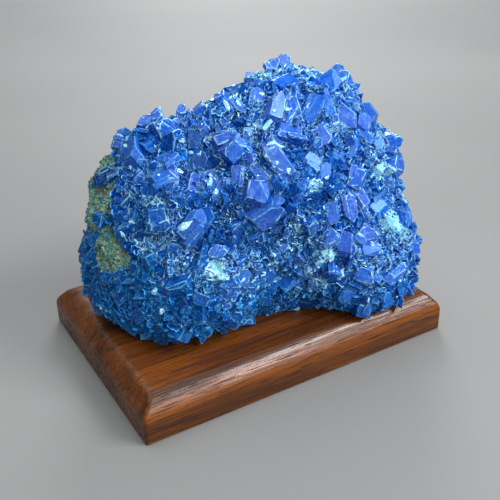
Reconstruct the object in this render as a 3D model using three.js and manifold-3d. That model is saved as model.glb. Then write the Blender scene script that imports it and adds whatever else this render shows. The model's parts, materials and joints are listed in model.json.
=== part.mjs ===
// Chalcanthite specimen on a walnut base.
// Millimetres, +Z up. The origin is the centre of the underside; the long side of the base lies along X.
import * as THREE from 'three';
import { ConvexGeometry } from 'three/addons/geometries/ConvexGeometry.js';
import { mergeVertices } from 'three/addons/utils/BufferGeometryUtils.js';
import Module from 'manifold-3d';

// Walnut base: a block whose top edges are planed to a flat bevel.
const BASE_LENGTH = 127;
const BASE_WIDTH = 89;
const BASE_HEIGHT = 16;
const BASE_CORNER = 2.5;
const BEVEL_ACROSS = 5;
const BEVEL_DOWN = 5.6;
const ARRIS = 0.4;
const CORNER_STEP = 22.5;

// The mass is an ellipsoid about its centre, turned on the base.
const MASS_CENTRE = new THREE.Vector3(5, 0, 48);
const MASS_HALF_SIZES = [64, 30, 45];
const MASS_TURN = -18;
const MASS_DETAIL = 5;

// Broad swells and hollows of the mass: longitude and latitude seen from its centre, spread, all in
// degrees, then the rise in millimetres.
const SWELLS = [
  [-30, 6, 28, -11],
  [9, 50, 26, 7],
  [60, 62, 26, 8],
  [111, 50, 26, -14],
  [134, 26, 26, 5],
  [155, 0, 26, -8],
  [170, -26, 26, 10],
  [-45, -20, 24, 16],
  [-100, -30, 24, -5],
  [-150, -20, 24, 14],
  [-152, 50, 12, -6],
  [-70, -48, 10, -5],
  [-55, -36, 16, 5],
  [-100, 30, 22, 3],
];

// Knobbly surface of the mass: waves per radian and height of each set of knobs.
const KNOBS = [
  [8, 1.6],
  [19, 0.8],
];
const KNOB_PHASES = [1.3, 0.7, 2.1];

// Where the showy side faces: longitude and latitude of the direction out of it. Its crystals swing up
// to SHOWY_SWING degrees off their own pose.
const SHOW_LONGITUDE = -120;
const SHOW_LATITUDE = 28;
const SHOWY_SWING = 24;

// The showy crystals: longitude and latitude on the mass, turn of the long edge from level as seen from
// the showy side, length, width, and how far the crystal's middle stands out of the mass.
const SHOWY_CRYSTALS = [
  [190, 34, 34, 10, 6, 1.5],
  [202, 35, 70, 8, 5, 1],
  [206, 41, 75, 6, 4, 1],
  [212, 39, 65, 6, 4, 1],
  [188, 41, 40, 6, 5, 1],
  [161, 34, 150, 6, 5, 1.5],
  [156, 36, 105, 6, 4, 3],
  [156, 45, 80, 7, 6, 2.5],
  [158, 50, 60, 6, 5, 2.5],
  [160, 59, 100, 6, 5, 3],
  [181, 29, 60, 5, 4, 1],
  [184, 36, 20, 5, 4, 1],
  [195, 75, -57, 12, 5, 1.5],
  [214, 77, -65, 10, 4, 1.5],
  [259, 83, 80, 9, 5, 1.5],
  [274, 73, 65, 11, 6, 2],
  [290, 69, 70, 12, 5, 1.5],
  [276, 61, -8, 12, 6, 2],
  [211, 61, 15, 9, 5, 1.5],
  [222, 57, 40, 9, 8, 2],
  [233, 63, 80, 7, 4, 1],
  [236, 53, 60, 6, 4, 1],
  [259, 50, -52, 15, 6, 1.5],
  [246, 45, -52, 12, 5, 1],
  [262, 60, -35, 7, 3, 1.5],
  [23, 68, 88, 10, 4, 4],
  [32, 71, 80, 7, 5, 3],
  [35, 74, 95, 5, 3, 4],
  [299, 69, -75, 12, 6, 1.5],
  [308, 63, 60, 12, 6, 1.5],
  [299, 53, 20, 8, 7, 2],
  [323, 49, -40, 9, 7, 1.5],
  [318, 57, -70, 12, 6, 1.5],
  [329, 42, 60, 8, 7, 1.5],
  [326, 38, -32, 9, 4, 2],
  [330, 30, 80, 6, 5, 1.5],
  [341, 24, 15, 8, 6, 3],
  [335, 18, -20, 10, 9, 2],
  [307, 27, 70, 9, 7, 2],
  [309, 18, -60, 9, 6, 1.5],
  [316, 8, 35, 9, 7, 2],
  [289, 18, -80, 9, 6, 1.5],
  [299, 16, -70, 11, 7, 2],
  [290, 38, 80, 7, 5, 1],
  [307, 41, 70, 7, 5, 1],
  [246, 24, 35, 12, 7, 2],
  [217, 36, 62, 9, 3.5, 1.5],
  [241, 36, 80, 9, 8, 1.5],
  [257, 4, 40, 6, 5, 1],
  [227, -9, 10, 7, 5, 1],
  [247, -16, -55, 10, 5, 1],
  [239, 3, 60, 6, 4, 1],
  [212, 21, 60, 9, 6, 1.5],
  [286, 3, 20, 7, 6, 1.5],
  [291, -1, 80, 9, 6, 1.5],
  [303, 0, -40, 8, 7, 1.5],
  [301, -6, 0, 8, 5, 1.5],
  [331, -9, 75, 8, 6, 1.5],
  [321, -11, -15, 8, 6, 1],
  [297, -16, -30, 8, 7, 1.5],
  [307, -16, 40, 11, 6, 1.5],
  [304, -25, -70, 8, 5, 1],
  [165, -6, 70, 8, 6, 1.5],
  [171, -22, 20, 6, 6, 1.5],
  [203, -15, 50, 5, 4, 1],
  [180, -33, -80, 7, 5, 2],
  [194, -38, -85, 6, 5, 2.5],
  [194, -18, 30, 8, 7, 1],
  [199, -11, 10, 7, 5, 1],
  [217, -12, -30, 7, 5, 1],
  [219, 5, 50, 6, 5, 1],
  [203, 6, -20, 6, 5, 1],
  [278, -17, 20, 7, 5, 1],
  [270, 36, 60, 7, 5, 1],
  [227, 45, 80, 7, 5, 1],
  [282, 46, -30, 7, 5, 1],
];

// Crystals that cover the rest of the mass, the coarsest first: tries, least distance to the crystals
// already there, shortest and longest length. Their numbers start where the showy ones leave room.
const CRYSTAL_GROWTHS = [
  [900, 12, 9, 12],
  [1800, 8.4, 6, 9],
];
const FIRST_SPREAD_NUMBER = 300;
const GOLDEN_ANGLE = 137.508;
const LOWEST_SEAT = 3;
const SEAT_OVERLAP = 1;
const LYING_SHARE = 0.5;
const SPREAD_LEAN = [10, 60];
const SPREAD_STAND = [-0.8, 0.6];
const WIDTH_TO_LENGTH = [0.55, 0.85];
const THICKNESS_TO_WIDTH = [0.5, 0.8];

// Outlines of the crystals as [along, across] in half sizes: a leaning tablet, a wedge and a block.
const HABITS = [
  [[-1, -0.5], [-0.75, -1], [0.85, -1], [1, 0.5], [0.75, 1], [-0.85, 1]],
  [[-1, -0.85], [0.4, -1], [1, -0.1], [0.45, 1], [-1, 0.8]],
  [[-0.9, -1], [1, -0.9], [0.9, 1], [-1, 0.85]],
];

// Layers of a crystal as height and outline scale, in half sizes: it narrows to its broad face.
const CRYSTAL_LAYERS = [
  [-1, 1],
  [1, 0.78],
];
const CRYSTAL_SLANT = 0.16;

// Crust of host rock in a pocket on the left flank: its outline as longitude and latitude on the mass.
const CRUST_OUTLINE = [
  [158, 30], [167, 29], [173, 24], [176, 18], [176, 11], [179, 6], [187, 1], [189, -4], [183, -7],
  [174, -6], [171, 0], [166, 4], [158, 3], [148, 6], [140, 14], [138, 22], [143, 29], [150, 33],
];
const CRUST_MIDDLE = [170, 10];
const CRUST_STEPS = 36;
const CRUST_FACE_RINGS = [0.35, 0.68, 1];
const CRUST_FLOOR_RINGS = [0.5, 1];
const CRUST_DEPTH = 2.6;
const CRUST_PROUD = 3.4;
const CRUST_RIM_PROUD = 1.5;
const CRUST_GRAIN = 0.8;
const CRUST_GRAIN_WAVES = 47;
const CRUST_GAP = 0.3;
const CRUST_CLEARANCE = 14;
const CRUST_BORDER = 3;

const UP = new THREE.Vector3(0, 0, 1);
const { degToRad, radToDeg } = THREE.MathUtils;

const wasm = await Module();
wasm.setup();

// A repeatable number from 0 to 1 for item number i and purpose k.
function chance(i, k) {
  const value = Math.sin(i * 12.9898 + k * 78.233) * 43758.5453;
  return value - Math.floor(value);
}

function between([low, high], share) {
  return low + (high - low) * share;
}

function direction(longitude, latitude) {
  const flat = Math.cos(degToRad(latitude));
  return new THREE.Vector3(
    flat * Math.cos(degToRad(longitude)),
    flat * Math.sin(degToRad(longitude)),
    Math.sin(degToRad(latitude)),
  );
}

const swells = SWELLS.map(([longitude, latitude, spread, rise]) => ({
  way: direction(longitude, latitude),
  spread: degToRad(spread),
  rise,
}));

const crustEdge = crustOutline(0);

// Distance from the mass's centre to its surface along a unit direction.
function reach(way) {
  const own = way.clone().applyAxisAngle(UP, degToRad(-MASS_TURN));
  const [a, b, c] = MASS_HALF_SIZES;
  let distance = 1 / Math.hypot(own.x / a, own.y / b, own.z / c);
  for (const { way: peak, spread, rise } of swells) {
    distance += rise * Math.exp(-((way.angleTo(peak) / spread) ** 2));
  }
  const [phaseX, phaseY, phaseZ] = KNOB_PHASES;
  for (const [waves, height] of KNOBS) {
    distance += height * Math.sin(waves * way.x + phaseX) * Math.sin(waves * way.y + phaseY)
      * Math.sin(waves * way.z + phaseZ);
  }
  return distance;
}

// Point over the mass's surface along a unit direction.
function surface(way, stand = 0) {
  return way.clone().multiplyScalar(reach(way) + stand).add(MASS_CENTRE);
}

// Direction straight out of the mass's surface.
function outward(way) {
  const nudge = 0.02;
  const sideways = new THREE.Vector3().crossVectors(UP, way).normalize();
  const upwards = new THREE.Vector3().crossVectors(way, sideways);
  const here = surface(way);
  const beside = surface(way.clone().addScaledVector(sideways, nudge).normalize()).sub(here);
  const above = surface(way.clone().addScaledVector(upwards, nudge).normalize()).sub(here);
  return beside.cross(above).normalize();
}

function solid(geometry) {
  const bare = geometry.clone();
  bare.deleteAttribute('normal');
  bare.deleteAttribute('uv');
  const merged = mergeVertices(bare);
  return new wasm.Manifold(new wasm.Mesh({
    numProp: 3,
    vertProperties: new Float32Array(merged.attributes.position.array),
    triVerts: new Uint32Array(merged.index.array),
  }));
}

function geometryOf(body) {
  const { vertProperties, triVerts } = body.getMesh();
  const geometry = new THREE.BufferGeometry();
  geometry.setAttribute('position', new THREE.BufferAttribute(vertProperties, 3));
  geometry.setIndex(new THREE.BufferAttribute(triVerts, 1));
  geometry.computeVertexNormals();
  return geometry;
}

function massGeometry() {
  const geometry = new THREE.IcosahedronGeometry(1, MASS_DETAIL);
  const places = geometry.attributes.position;
  const way = new THREE.Vector3();
  for (let i = 0; i < places.count; i += 1) {
    way.fromBufferAttribute(places, i).normalize();
    const place = surface(way);
    places.setXYZ(i, place.x, place.y, place.z);
  }
  return geometry;
}

// One crystal about its own middle, long edge along X and broad face up.
function crystalGeometry(habit, length, width, thickness) {
  const points = [];
  for (const [height, scale] of CRYSTAL_LAYERS) {
    for (const [along, across] of habit) {
      points.push(new THREE.Vector3(
        (along * scale + height * CRYSTAL_SLANT) * length / 2,
        (across * scale - height * CRYSTAL_SLANT) * width / 2,
        height * thickness / 2,
      ));
    }
  }
  return new ConvexGeometry(points);
}

// Turns and places a crystal; `along` is brought square to `face`.
function crystal(number, middle, along, face, length, width) {
  const habit = HABITS[Math.floor(chance(number, 1) * HABITS.length)];
  const thickness = width * between(THICKNESS_TO_WIDTH, chance(number, 2));
  const across = new THREE.Vector3().crossVectors(face, along).normalize();
  const lengthwise = new THREE.Vector3().crossVectors(across, face).normalize();
  const place = new THREE.Matrix4().makeBasis(lengthwise, across, face).setPosition(middle);
  return solid(crystalGeometry(habit, length, width, thickness).applyMatrix4(place));
}

// A unit direction close to `way`, swung by up to `swing` degrees.
function swung(way, swing, number) {
  const aside = new THREE.Vector3(chance(number, 3) - 0.5, chance(number, 4) - 0.5, chance(number, 5) - 0.5);
  aside.cross(way).normalize();
  return way.clone().applyAxisAngle(aside, degToRad(swing));
}

// The showy crystals turn their broad faces half to the showy side and half out of the mass.
function showyCrystals(seats) {
  const towards = direction(SHOW_LONGITUDE, SHOW_LATITUDE);
  const level = new THREE.Vector3().crossVectors(UP, towards).normalize();
  const rising = new THREE.Vector3().crossVectors(towards, level);
  return SHOWY_CRYSTALS.map(([longitude, latitude, turn, length, width, stand], number) => {
    const way = direction(longitude, latitude);
    const middle = surface(way, stand);
    seats.push({ middle, size: length });
    const half = outward(way).add(towards).normalize();
    const face = swung(half, SHOWY_SWING * chance(number, 6), number);
    const along = level.clone().multiplyScalar(Math.cos(degToRad(turn)))
      .addScaledVector(rising, Math.sin(degToRad(turn)));
    return crystal(number, middle, along, face, length, width);
  });
}

// Whether a place on the mass lies on the crust or its border, by the outline's reach in that direction.
function onCrust(longitude, latitude) {
  const x = (longitude + 360) % 360 - CRUST_MIDDLE[0];
  const y = latitude - CRUST_MIDDLE[1];
  const angle = Math.atan2(y, x);
  const apart = (point) => Math.abs(Math.atan2(Math.sin(angle - point.angle), Math.cos(angle - point.angle)));
  const nearest = crustEdge.reduce((best, point) => (apart(point) < apart(best) ? point : best));
  return Math.hypot(x, y) < nearest.distance + CRUST_BORDER;
}

// The other crystals stand or lie on the mass, leaning at random, wherever there is room left.
function spreadCrystals(seats) {
  const bodies = [];
  for (const [tries, spacing, shortest, longest] of CRYSTAL_GROWTHS) {
    for (let i = 0; i < tries; i += 1) {
      const number = FIRST_SPREAD_NUMBER + bodies.length;
      const longitude = (i * GOLDEN_ANGLE) % 360 - 180;
      const latitude = radToDeg(Math.asin(1 - 2 * chance(i, tries)));
      const way = direction(longitude, latitude);
      const seat = surface(way);
      const free = seats.every(
        ({ middle, size }) => middle.distanceTo(seat) > (spacing + size) / 2 - SEAT_OVERLAP);
      if (seat.z < BASE_HEIGHT + LOWEST_SEAT || !free || onCrust(longitude, latitude)) {
        continue;
      }
      const length = between([shortest, longest], chance(number, 7));
      const width = length * between(WIDTH_TO_LENGTH, chance(number, 8));
      const pole = swung(outward(way), between(SPREAD_LEAN, chance(number, 9)), number);
      const side = swung(pole, 90, number + 0.5);
      const [along, face] = chance(number, 10) < LYING_SHARE ? [side, pole] : [pole, side];
      const middle = surface(way, between(SPREAD_STAND, chance(number, 11)));
      seats.push({ middle: seat, size: spacing });
      bodies.push(crystal(number, middle, along, face, length, width));
    }
  }
  return bodies;
}

// The crust's outline as points about its middle, grown outwards by `grow` degrees.
function crustOutline(grow) {
  const bends = CRUST_OUTLINE.map(([longitude, latitude]) => new THREE.Vector3(
    longitude - CRUST_MIDDLE[0], latitude - CRUST_MIDDLE[1], 0));
  const curve = new THREE.CatmullRomCurve3(bends, true);
  return Array.from({ length: CRUST_STEPS }, (_, i) => {
    const point = curve.getPoint(i / CRUST_STEPS);
    const ahead = curve.getTangent(i / CRUST_STEPS);
    const x = point.x - ahead.y * grow;
    const y = point.y + ahead.x * grow;
    return { x, y, angle: Math.atan2(y, x), distance: Math.hypot(x, y) };
  });
}

// A closed shell over the crust's outline, from a floor up to a face, each a height above the mass.
function shellGeometry(grow, floor, face) {
  const outline = crustOutline(grow);
  const corners = [];
  const triangles = [];
  const addSheet = (rings, height, flip) => {
    const first = corners.length / 3;
    const put = (x, y, ring) => {
      const way = direction(CRUST_MIDDLE[0] + x, CRUST_MIDDLE[1] + y);
      corners.push(...surface(way, height(way, ring)).toArray());
    };
    const add = (a, b, c) => triangles.push(...(flip ? [a, c, b] : [a, b, c]));
    put(0, 0, 0);
    rings.forEach((ring, row) => outline.forEach(({ x, y }, step) => {
      put(x * ring, y * ring, ring);
      const here = first + 1 + row * CRUST_STEPS + step;
      const next = first + 1 + row * CRUST_STEPS + ((step + 1) % CRUST_STEPS);
      if (row === 0) {
        add(first, next, here);
      } else {
        add(here - CRUST_STEPS, next - CRUST_STEPS, here);
        add(next - CRUST_STEPS, next, here);
      }
    }));
    return first + 1 + (rings.length - 1) * CRUST_STEPS;
  };
  const faceRim = addSheet(CRUST_FACE_RINGS, face, false);
  const floorRim = addSheet(CRUST_FLOOR_RINGS, floor, true);
  for (let step = 0; step < CRUST_STEPS; step += 1) {
    const next = (step + 1) % CRUST_STEPS;
    triangles.push(faceRim + step, faceRim + next, floorRim + step);
    triangles.push(faceRim + next, floorRim + next, floorRim + step);
  }
  const geometry = new THREE.BufferGeometry();
  geometry.setAttribute('position', new THREE.Float32BufferAttribute(corners, 3));
  geometry.setIndex(triangles);
  return geometry;
}

function crustGeometry() {
  const grainy = (way, ring) => CRUST_RIM_PROUD
    + (CRUST_PROUD - CRUST_RIM_PROUD) * (1 - ring ** 4)
    + CRUST_GRAIN * Math.sin(CRUST_GRAIN_WAVES * way.y) * Math.sin(CRUST_GRAIN_WAVES * way.z);
  return shellGeometry(0, () => -CRUST_DEPTH, grainy);
}

// The pocket keeps a running gap round the crust, and clears the crystals above it.
function pocketGeometry() {
  return shellGeometry(CRUST_GAP, () => -CRUST_DEPTH - CRUST_GAP, () => CRUST_CLEARANCE);
}

function clusterGeometry() {
  const seats = [];
  const crystals = [...showyCrystals(seats), ...spreadCrystals(seats)];
  const grown = crystals.reduce((whole, next) => whole.add(next), solid(massGeometry()));
  return geometryOf(grown.subtract(solid(pocketGeometry())).trimByPlane(UP.toArray(), BASE_HEIGHT));
}

function baseGeometry() {
  const levels = [
    [0, ARRIS],
    [ARRIS, 0],
    [BASE_HEIGHT - BEVEL_DOWN, 0],
    [BASE_HEIGHT, BEVEL_ACROSS],
  ];
  const corners = [
    [1, 1, 0],
    [-1, 1, 90],
    [-1, -1, 180],
    [1, -1, 270],
  ];
  const points = [];
  for (const [height, inset] of levels) {
    for (const [sideX, sideY, start] of corners) {
      for (let turn = start; turn <= start + 90; turn += CORNER_STEP) {
        points.push(new THREE.Vector3(
          sideX * (BASE_LENGTH / 2 - inset - BASE_CORNER) + BASE_CORNER * Math.cos(degToRad(turn)),
          sideY * (BASE_WIDTH / 2 - inset - BASE_CORNER) + BASE_CORNER * Math.sin(degToRad(turn)),
          height,
        ));
      }
    }
  }
  return new ConvexGeometry(points);
}

function piece(name, geometry, color, roughness) {
  const mesh = new THREE.Mesh(geometry, new THREE.MeshStandardMaterial({ color, roughness, metalness: 0 }));
  mesh.name = name;
  return mesh;
}

const specimen = new THREE.Group();
specimen.add(piece('wooden_base', baseGeometry(), 0x6b3a1f, 0.45));
specimen.add(piece('crystal_cluster', clusterGeometry(), 0x2f4fb8, 0.2));
specimen.add(piece('matrix_crust', crustGeometry(), 0x7c8666, 0.9));

export default specimen;
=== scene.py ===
"""Chalcanthite crystals on a walnut base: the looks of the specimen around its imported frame.

Sizes and places are millimetres in the row frame until a mesh is made, which is in metres. Longitudes and
latitudes are degrees, seen from the centre of the crystal mass.
"""

import json
import logging
import math
from dataclasses import dataclass
from enum import Enum, IntEnum
from typing import Iterable, Optional, Sequence

import bmesh
import bpy
import numpy as np
from mathutils import Matrix, Vector, noise
from mathutils.bvhtree import BVHTree

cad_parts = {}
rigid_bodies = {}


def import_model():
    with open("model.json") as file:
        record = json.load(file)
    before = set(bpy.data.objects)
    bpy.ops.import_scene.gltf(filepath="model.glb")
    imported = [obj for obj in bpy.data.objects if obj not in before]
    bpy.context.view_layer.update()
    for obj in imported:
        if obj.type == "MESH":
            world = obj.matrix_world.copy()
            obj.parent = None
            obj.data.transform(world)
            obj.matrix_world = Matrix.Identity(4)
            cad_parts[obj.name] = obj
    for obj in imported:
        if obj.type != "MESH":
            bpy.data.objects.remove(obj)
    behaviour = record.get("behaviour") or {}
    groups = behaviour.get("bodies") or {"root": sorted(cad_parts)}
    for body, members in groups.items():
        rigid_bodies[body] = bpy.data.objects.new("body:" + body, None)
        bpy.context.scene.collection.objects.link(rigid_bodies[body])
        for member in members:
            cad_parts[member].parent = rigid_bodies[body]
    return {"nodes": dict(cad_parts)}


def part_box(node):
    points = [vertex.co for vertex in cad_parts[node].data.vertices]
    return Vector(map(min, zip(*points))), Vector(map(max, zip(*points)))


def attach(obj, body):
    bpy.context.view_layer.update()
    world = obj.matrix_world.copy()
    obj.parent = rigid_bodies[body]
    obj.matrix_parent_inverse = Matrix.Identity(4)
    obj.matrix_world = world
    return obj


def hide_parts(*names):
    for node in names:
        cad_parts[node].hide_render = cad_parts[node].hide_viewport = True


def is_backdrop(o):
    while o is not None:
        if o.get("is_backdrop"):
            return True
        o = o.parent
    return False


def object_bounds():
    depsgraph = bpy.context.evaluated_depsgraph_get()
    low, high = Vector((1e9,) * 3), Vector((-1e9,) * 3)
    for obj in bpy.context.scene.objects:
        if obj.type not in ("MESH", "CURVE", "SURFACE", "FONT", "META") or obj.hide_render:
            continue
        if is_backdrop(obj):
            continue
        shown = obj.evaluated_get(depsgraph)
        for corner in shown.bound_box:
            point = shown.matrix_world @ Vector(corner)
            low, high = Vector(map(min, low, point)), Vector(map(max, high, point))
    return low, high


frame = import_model()
cad_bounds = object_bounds()

log = logging.getLogger("specimen")

Color = tuple[float, float, float]
Row = tuple[float, ...]
Rows = tuple[Row, ...]

MM = 0.001
UP = np.array([0.0, 0.0, 1.0])
GOLDEN_ANGLE = 137.508
TINY = 1e-6
REFRACTION = 1.53
# Slope over the object, right and upwards; the painted shade lies where it is low, on the low left flank.
PAINTED_SHADE_SLOPE: Row = (7.0, 11.0)
GLINT: Color = (0.3, 0.65, 1.0)


# ---------------------------------------------------------------- small helpers


class Draw(IntEnum):
    """What a repeatable random number is drawn for. A gap after a number leaves room for a run of draws."""

    HABIT = 1
    THICKNESS = 2
    SWING_WAY = 3
    SWING = 6
    LENGTH = 7
    WIDTH = 8
    LEAN = 9
    LYING = 10
    STAND = 11
    COMPANION = 12
    TONE = 13
    FLAKE_EDGE = 17
    GRAIN = 21
    CHIP_LATITUDE = 23
    CHIP_LENGTH = 24
    CHIP_TURN = 25
    CHIP_WIDTH = 26
    CUT_SPIN = 31
    CUT_RISE = 41
    CUT_DEPTH = 51
    COMPANION_SIZE = 60
    COMPANION_SIDE = 64
    COMPANION_TONE = 67
    CORNER = 70


def chance(item: float, purpose: float) -> float:
    """Gives a repeatable number from 0 to 1.

    Args:
        item: the number of the thing that needs it.
        purpose: what the number is for.

    Returns:
        The number.
    """
    value = math.sin(item * 12.9898 + purpose * 78.233) * 43758.5453
    return value - math.floor(value)


def between(low: float, high: float, share: float) -> float:
    """Returns the value at `share` of the way from low to high."""
    return low + (high - low) * share


def unit(vector: np.ndarray) -> np.ndarray:
    """Returns the vector, or each row of vectors, brought to length one."""
    return vector / np.linalg.norm(vector, axis=-1, keepdims=True)


def direction(longitude: float, latitude: float) -> np.ndarray:
    """Returns the unit direction at a longitude and latitude."""
    lon, lat = math.radians(longitude), math.radians(latitude)
    return np.array([math.cos(lat) * math.cos(lon), math.cos(lat) * math.sin(lon), math.sin(lat)])


def turned(vector: np.ndarray, axis: np.ndarray, degrees: float) -> np.ndarray:
    """Returns the vector turned about an axis by an angle in degrees."""
    return np.array(Matrix.Rotation(math.radians(degrees), 3, Vector(axis)) @ Vector(vector))


def smooth(low: float, high: float, value: np.ndarray) -> np.ndarray:
    """Returns 0 below low, 1 above high and a soft step between them."""
    share = np.clip((value - low) / (high - low), 0, 1)
    return share * share * (3 - 2 * share)


def link(name: str, data: bpy.types.ID) -> bpy.types.Object:
    """Puts a mesh, a lamp or a camera in the scene.

    Args:
        name: the object's name.
        data: the mesh, lamp or camera.

    Returns:
        The new object, at the origin.
    """
    made = bpy.data.objects.new(name, data)
    bpy.context.scene.collection.objects.link(made)
    return made


def mesh_of(name: str, points: np.ndarray, faces: Iterable[Sequence[int]]) -> bpy.types.Mesh:
    """Makes a mesh from points in millimetres.

    Args:
        name: the mesh's name.
        points: one row for each vertex.
        faces: vertex numbers of each face, anticlockwise from outside.

    Returns:
        The mesh, in metres.
    """
    mesh = bpy.data.meshes.new(name)
    mesh.from_pydata((np.asarray(points) * MM).tolist(), [], [list(face) for face in faces])
    mesh.update()
    return mesh


def mesh_from(shape: bmesh.types.BMesh, name: str) -> bpy.types.Mesh:
    """Returns a mesh of a shape, which is freed."""
    mesh = bpy.data.meshes.new(name)
    shape.to_mesh(mesh)
    shape.free()
    return mesh


def points_of(mesh: bpy.types.Mesh) -> np.ndarray:
    """Reads a mesh's vertices.

    Args:
        mesh: the mesh.

    Returns:
        The vertices in millimetres, one row each.
    """
    flat = np.empty(len(mesh.vertices) * 3, np.float32)
    mesh.vertices.foreach_get("co", flat)
    return flat.reshape(-1, 3).astype(float) / MM


def move_points(mesh: bpy.types.Mesh, points: np.ndarray) -> None:
    """Puts the mesh's vertices at points given in millimetres."""
    mesh.vertices.foreach_set("co", (points * MM).astype(np.float32).ravel())
    mesh.update()


def store(mesh: bpy.types.Mesh, name: str, values: np.ndarray) -> None:
    """Keeps a named attribute on a mesh's vertices.

    Args:
        mesh: the mesh.
        name: the attribute's name.
        values: a number for each vertex, or a row of three.
    """
    vector = np.ndim(values) == 2
    held = mesh.attributes.new(name, "FLOAT_VECTOR" if vector else "FLOAT", "POINT")
    held.data.foreach_set("vector" if vector else "value", np.asarray(values, np.float32).ravel())


def waves(points: np.ndarray, scale: float) -> np.ndarray:
    """Returns a smooth noise value, about -1 to 1, at each point."""
    return np.array([noise.noise(Vector(point * scale)) for point in points])


def evaluated(source: bpy.types.Object) -> bpy.types.Mesh:
    """Applies an object's modifiers and takes them off.

    Args:
        source: the object.

    Returns:
        A plain mesh with the modifiers' result.
    """
    depsgraph = bpy.context.evaluated_depsgraph_get()
    mesh = bpy.data.meshes.new_from_object(source.evaluated_get(depsgraph))
    mesh.name = source.name
    source.modifiers.clear()
    return mesh


class Nodes:
    """Adds the nodes of one tree and links them."""

    def __init__(self, tree: bpy.types.NodeTree) -> None:
        """Starts with the tree to fill."""
        self.tree = tree

    def feed(self, socket: bpy.types.NodeSocket, value: object) -> None:
        """Links a socket to another one, or sets its value.

        Args:
            socket: the input socket.
            value: the socket to link, or the value.
        """
        if isinstance(value, bpy.types.NodeSocket):
            self.tree.links.new(value, socket)
        elif isinstance(value, tuple) and len(value) == 3 and socket.type == "RGBA":
            socket.default_value = (*value, 1.0)
        else:
            socket.default_value = value

    def add(self, kind: str, inputs: Optional[dict[object, object]] = None,
            **settings: object) -> bpy.types.Node:
        """Adds a node.

        Args:
            kind: the node's type name.
            inputs: values or sockets for its inputs, by name or number.
            settings: the node's own properties.

        Returns:
            The node.
        """
        made = self.tree.nodes.new(kind)
        for name, value in settings.items():
            setattr(made, name, value)
        for name, value in (inputs or {}).items():
            open_inputs = {socket.name: socket for socket in made.inputs if socket.enabled}
            self.feed(open_inputs[name] if isinstance(name, str) else made.inputs[name], value)
        return made

    def fill(self, node: bpy.types.Node, values: dict[str, object]) -> None:
        """Feeds some of a node's inputs by name."""
        for name, value in values.items():
            self.feed(node.inputs[name], value)

    def math(self, operation: str, *values: object) -> bpy.types.NodeSocket:
        """Returns the result of a math node on one, two or three values."""
        return self.add("ShaderNodeMath", dict(enumerate(values)), operation=operation).outputs[0]

    def vector(self, operation: str, *values: object) -> bpy.types.NodeSocket:
        """Returns the vector that a vector math node gives."""
        return self.add("ShaderNodeVectorMath", dict(enumerate(values)), operation=operation).outputs[0]

    def scaled(self, value: object, factor: float) -> bpy.types.NodeSocket:
        """Returns a value times a factor."""
        return self.math("MULTIPLY", value, factor)

    def centred(self, value: object, factor: float) -> bpy.types.NodeSocket:
        """Returns how far a value from 0 to 1 is over its middle, times a factor."""
        return self.scaled(self.math("SUBTRACT", value, 0.5), factor)

    def ramp(self, value: object, low: float, high: float, start: float = 0.0,
             end: float = 1.0) -> bpy.types.NodeSocket:
        """Returns a soft step from start, at low, to end, at high."""
        return self.add("ShaderNodeMapRange", {"Value": value, "From Min": low, "From Max": high,
                        "To Min": start, "To Max": end}, interpolation_type="SMOOTHSTEP").outputs[0]

    def blend(self, share: object, first: object, second: object) -> bpy.types.NodeSocket:
        """Returns the colour between two colours."""
        return self.add("ShaderNodeMix", {0: share, 6: first, 7: second}, data_type="RGBA").outputs[2]

    def noise(self, place: object, scale: float, detail: float = 3.0, roughness: float = 0.5,
              distortion: float = 0.0) -> bpy.types.NodeSocket:
        """Returns a noise value from 0 to 1."""
        return self.add("ShaderNodeTexNoise", {"Vector": place, "Scale": scale, "Detail": detail,
                        "Roughness": roughness, "Distortion": distortion}).outputs[0]

    def bend(self, place: object, scale: float, detail: float, reach: float) -> bpy.types.NodeSocket:
        """Returns a place pushed aside by up to a reach, so that straight patterns look grown."""
        aside = self.add("ShaderNodeTexNoise", {"Vector": place, "Scale": scale, "Detail": detail})
        return self.vector("MULTIPLY_ADD", aside.outputs["Color"], (reach, reach, reach), place)

    def cells(self, place: object, scale: float) -> bpy.types.NodeSocket:
        """Returns the distance from the nearest wall of a pattern of cells."""
        return self.add("ShaderNodeTexVoronoi", {"Vector": place, "Scale": scale},
                        feature="DISTANCE_TO_EDGE").outputs["Distance"]

    def place(self) -> bpy.types.NodeSocket:
        """Returns the place in the object's own coordinates, in metres."""
        return self.add("ShaderNodeTexCoord").outputs["Object"]

    def height_over(self, place: object, slope: tuple[float, float]) -> bpy.types.NodeSocket:
        """Returns a value that rises to the right and upwards, by a slope for each way."""
        apart = self.add("ShaderNodeSeparateXYZ", {0: place}).outputs
        return self.math("ADD", self.scaled(apart[0], slope[0]), self.scaled(apart[2], slope[1]))

    def bump(self, height: object, strength: float, distance: float) -> bpy.types.NodeSocket:
        """Returns the normal that a relief of some depth in metres gives."""
        return self.add("ShaderNodeBump", {"Height": height, "Strength": strength,
                        "Distance": distance}).outputs["Normal"]

    def random(self, kind: str, low: object, high: object, seed: object) -> bpy.types.NodeSocket:
        """Returns a random value for each element, of a kind such as FLOAT, INT or FLOAT_VECTOR."""
        made = self.add("FunctionNodeRandomValue", {"Min": low, "Max": high, "Seed": seed}, data_type=kind)
        return next(socket for socket in made.outputs if socket.enabled)

    def attribute(self, name: str, output: str = "Fac") -> bpy.types.NodeSocket:
        """Returns a named attribute inside a material."""
        return self.add("ShaderNodeAttribute", attribute_type="GEOMETRY", attribute_name=name).outputs[output]

    def named(self, name: str, kind: str = "FLOAT") -> bpy.types.NodeSocket:
        """Returns a named attribute inside a geometry tree."""
        return self.add("GeometryNodeInputNamedAttribute", {"Name": name}, data_type=kind).outputs[0]

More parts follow.
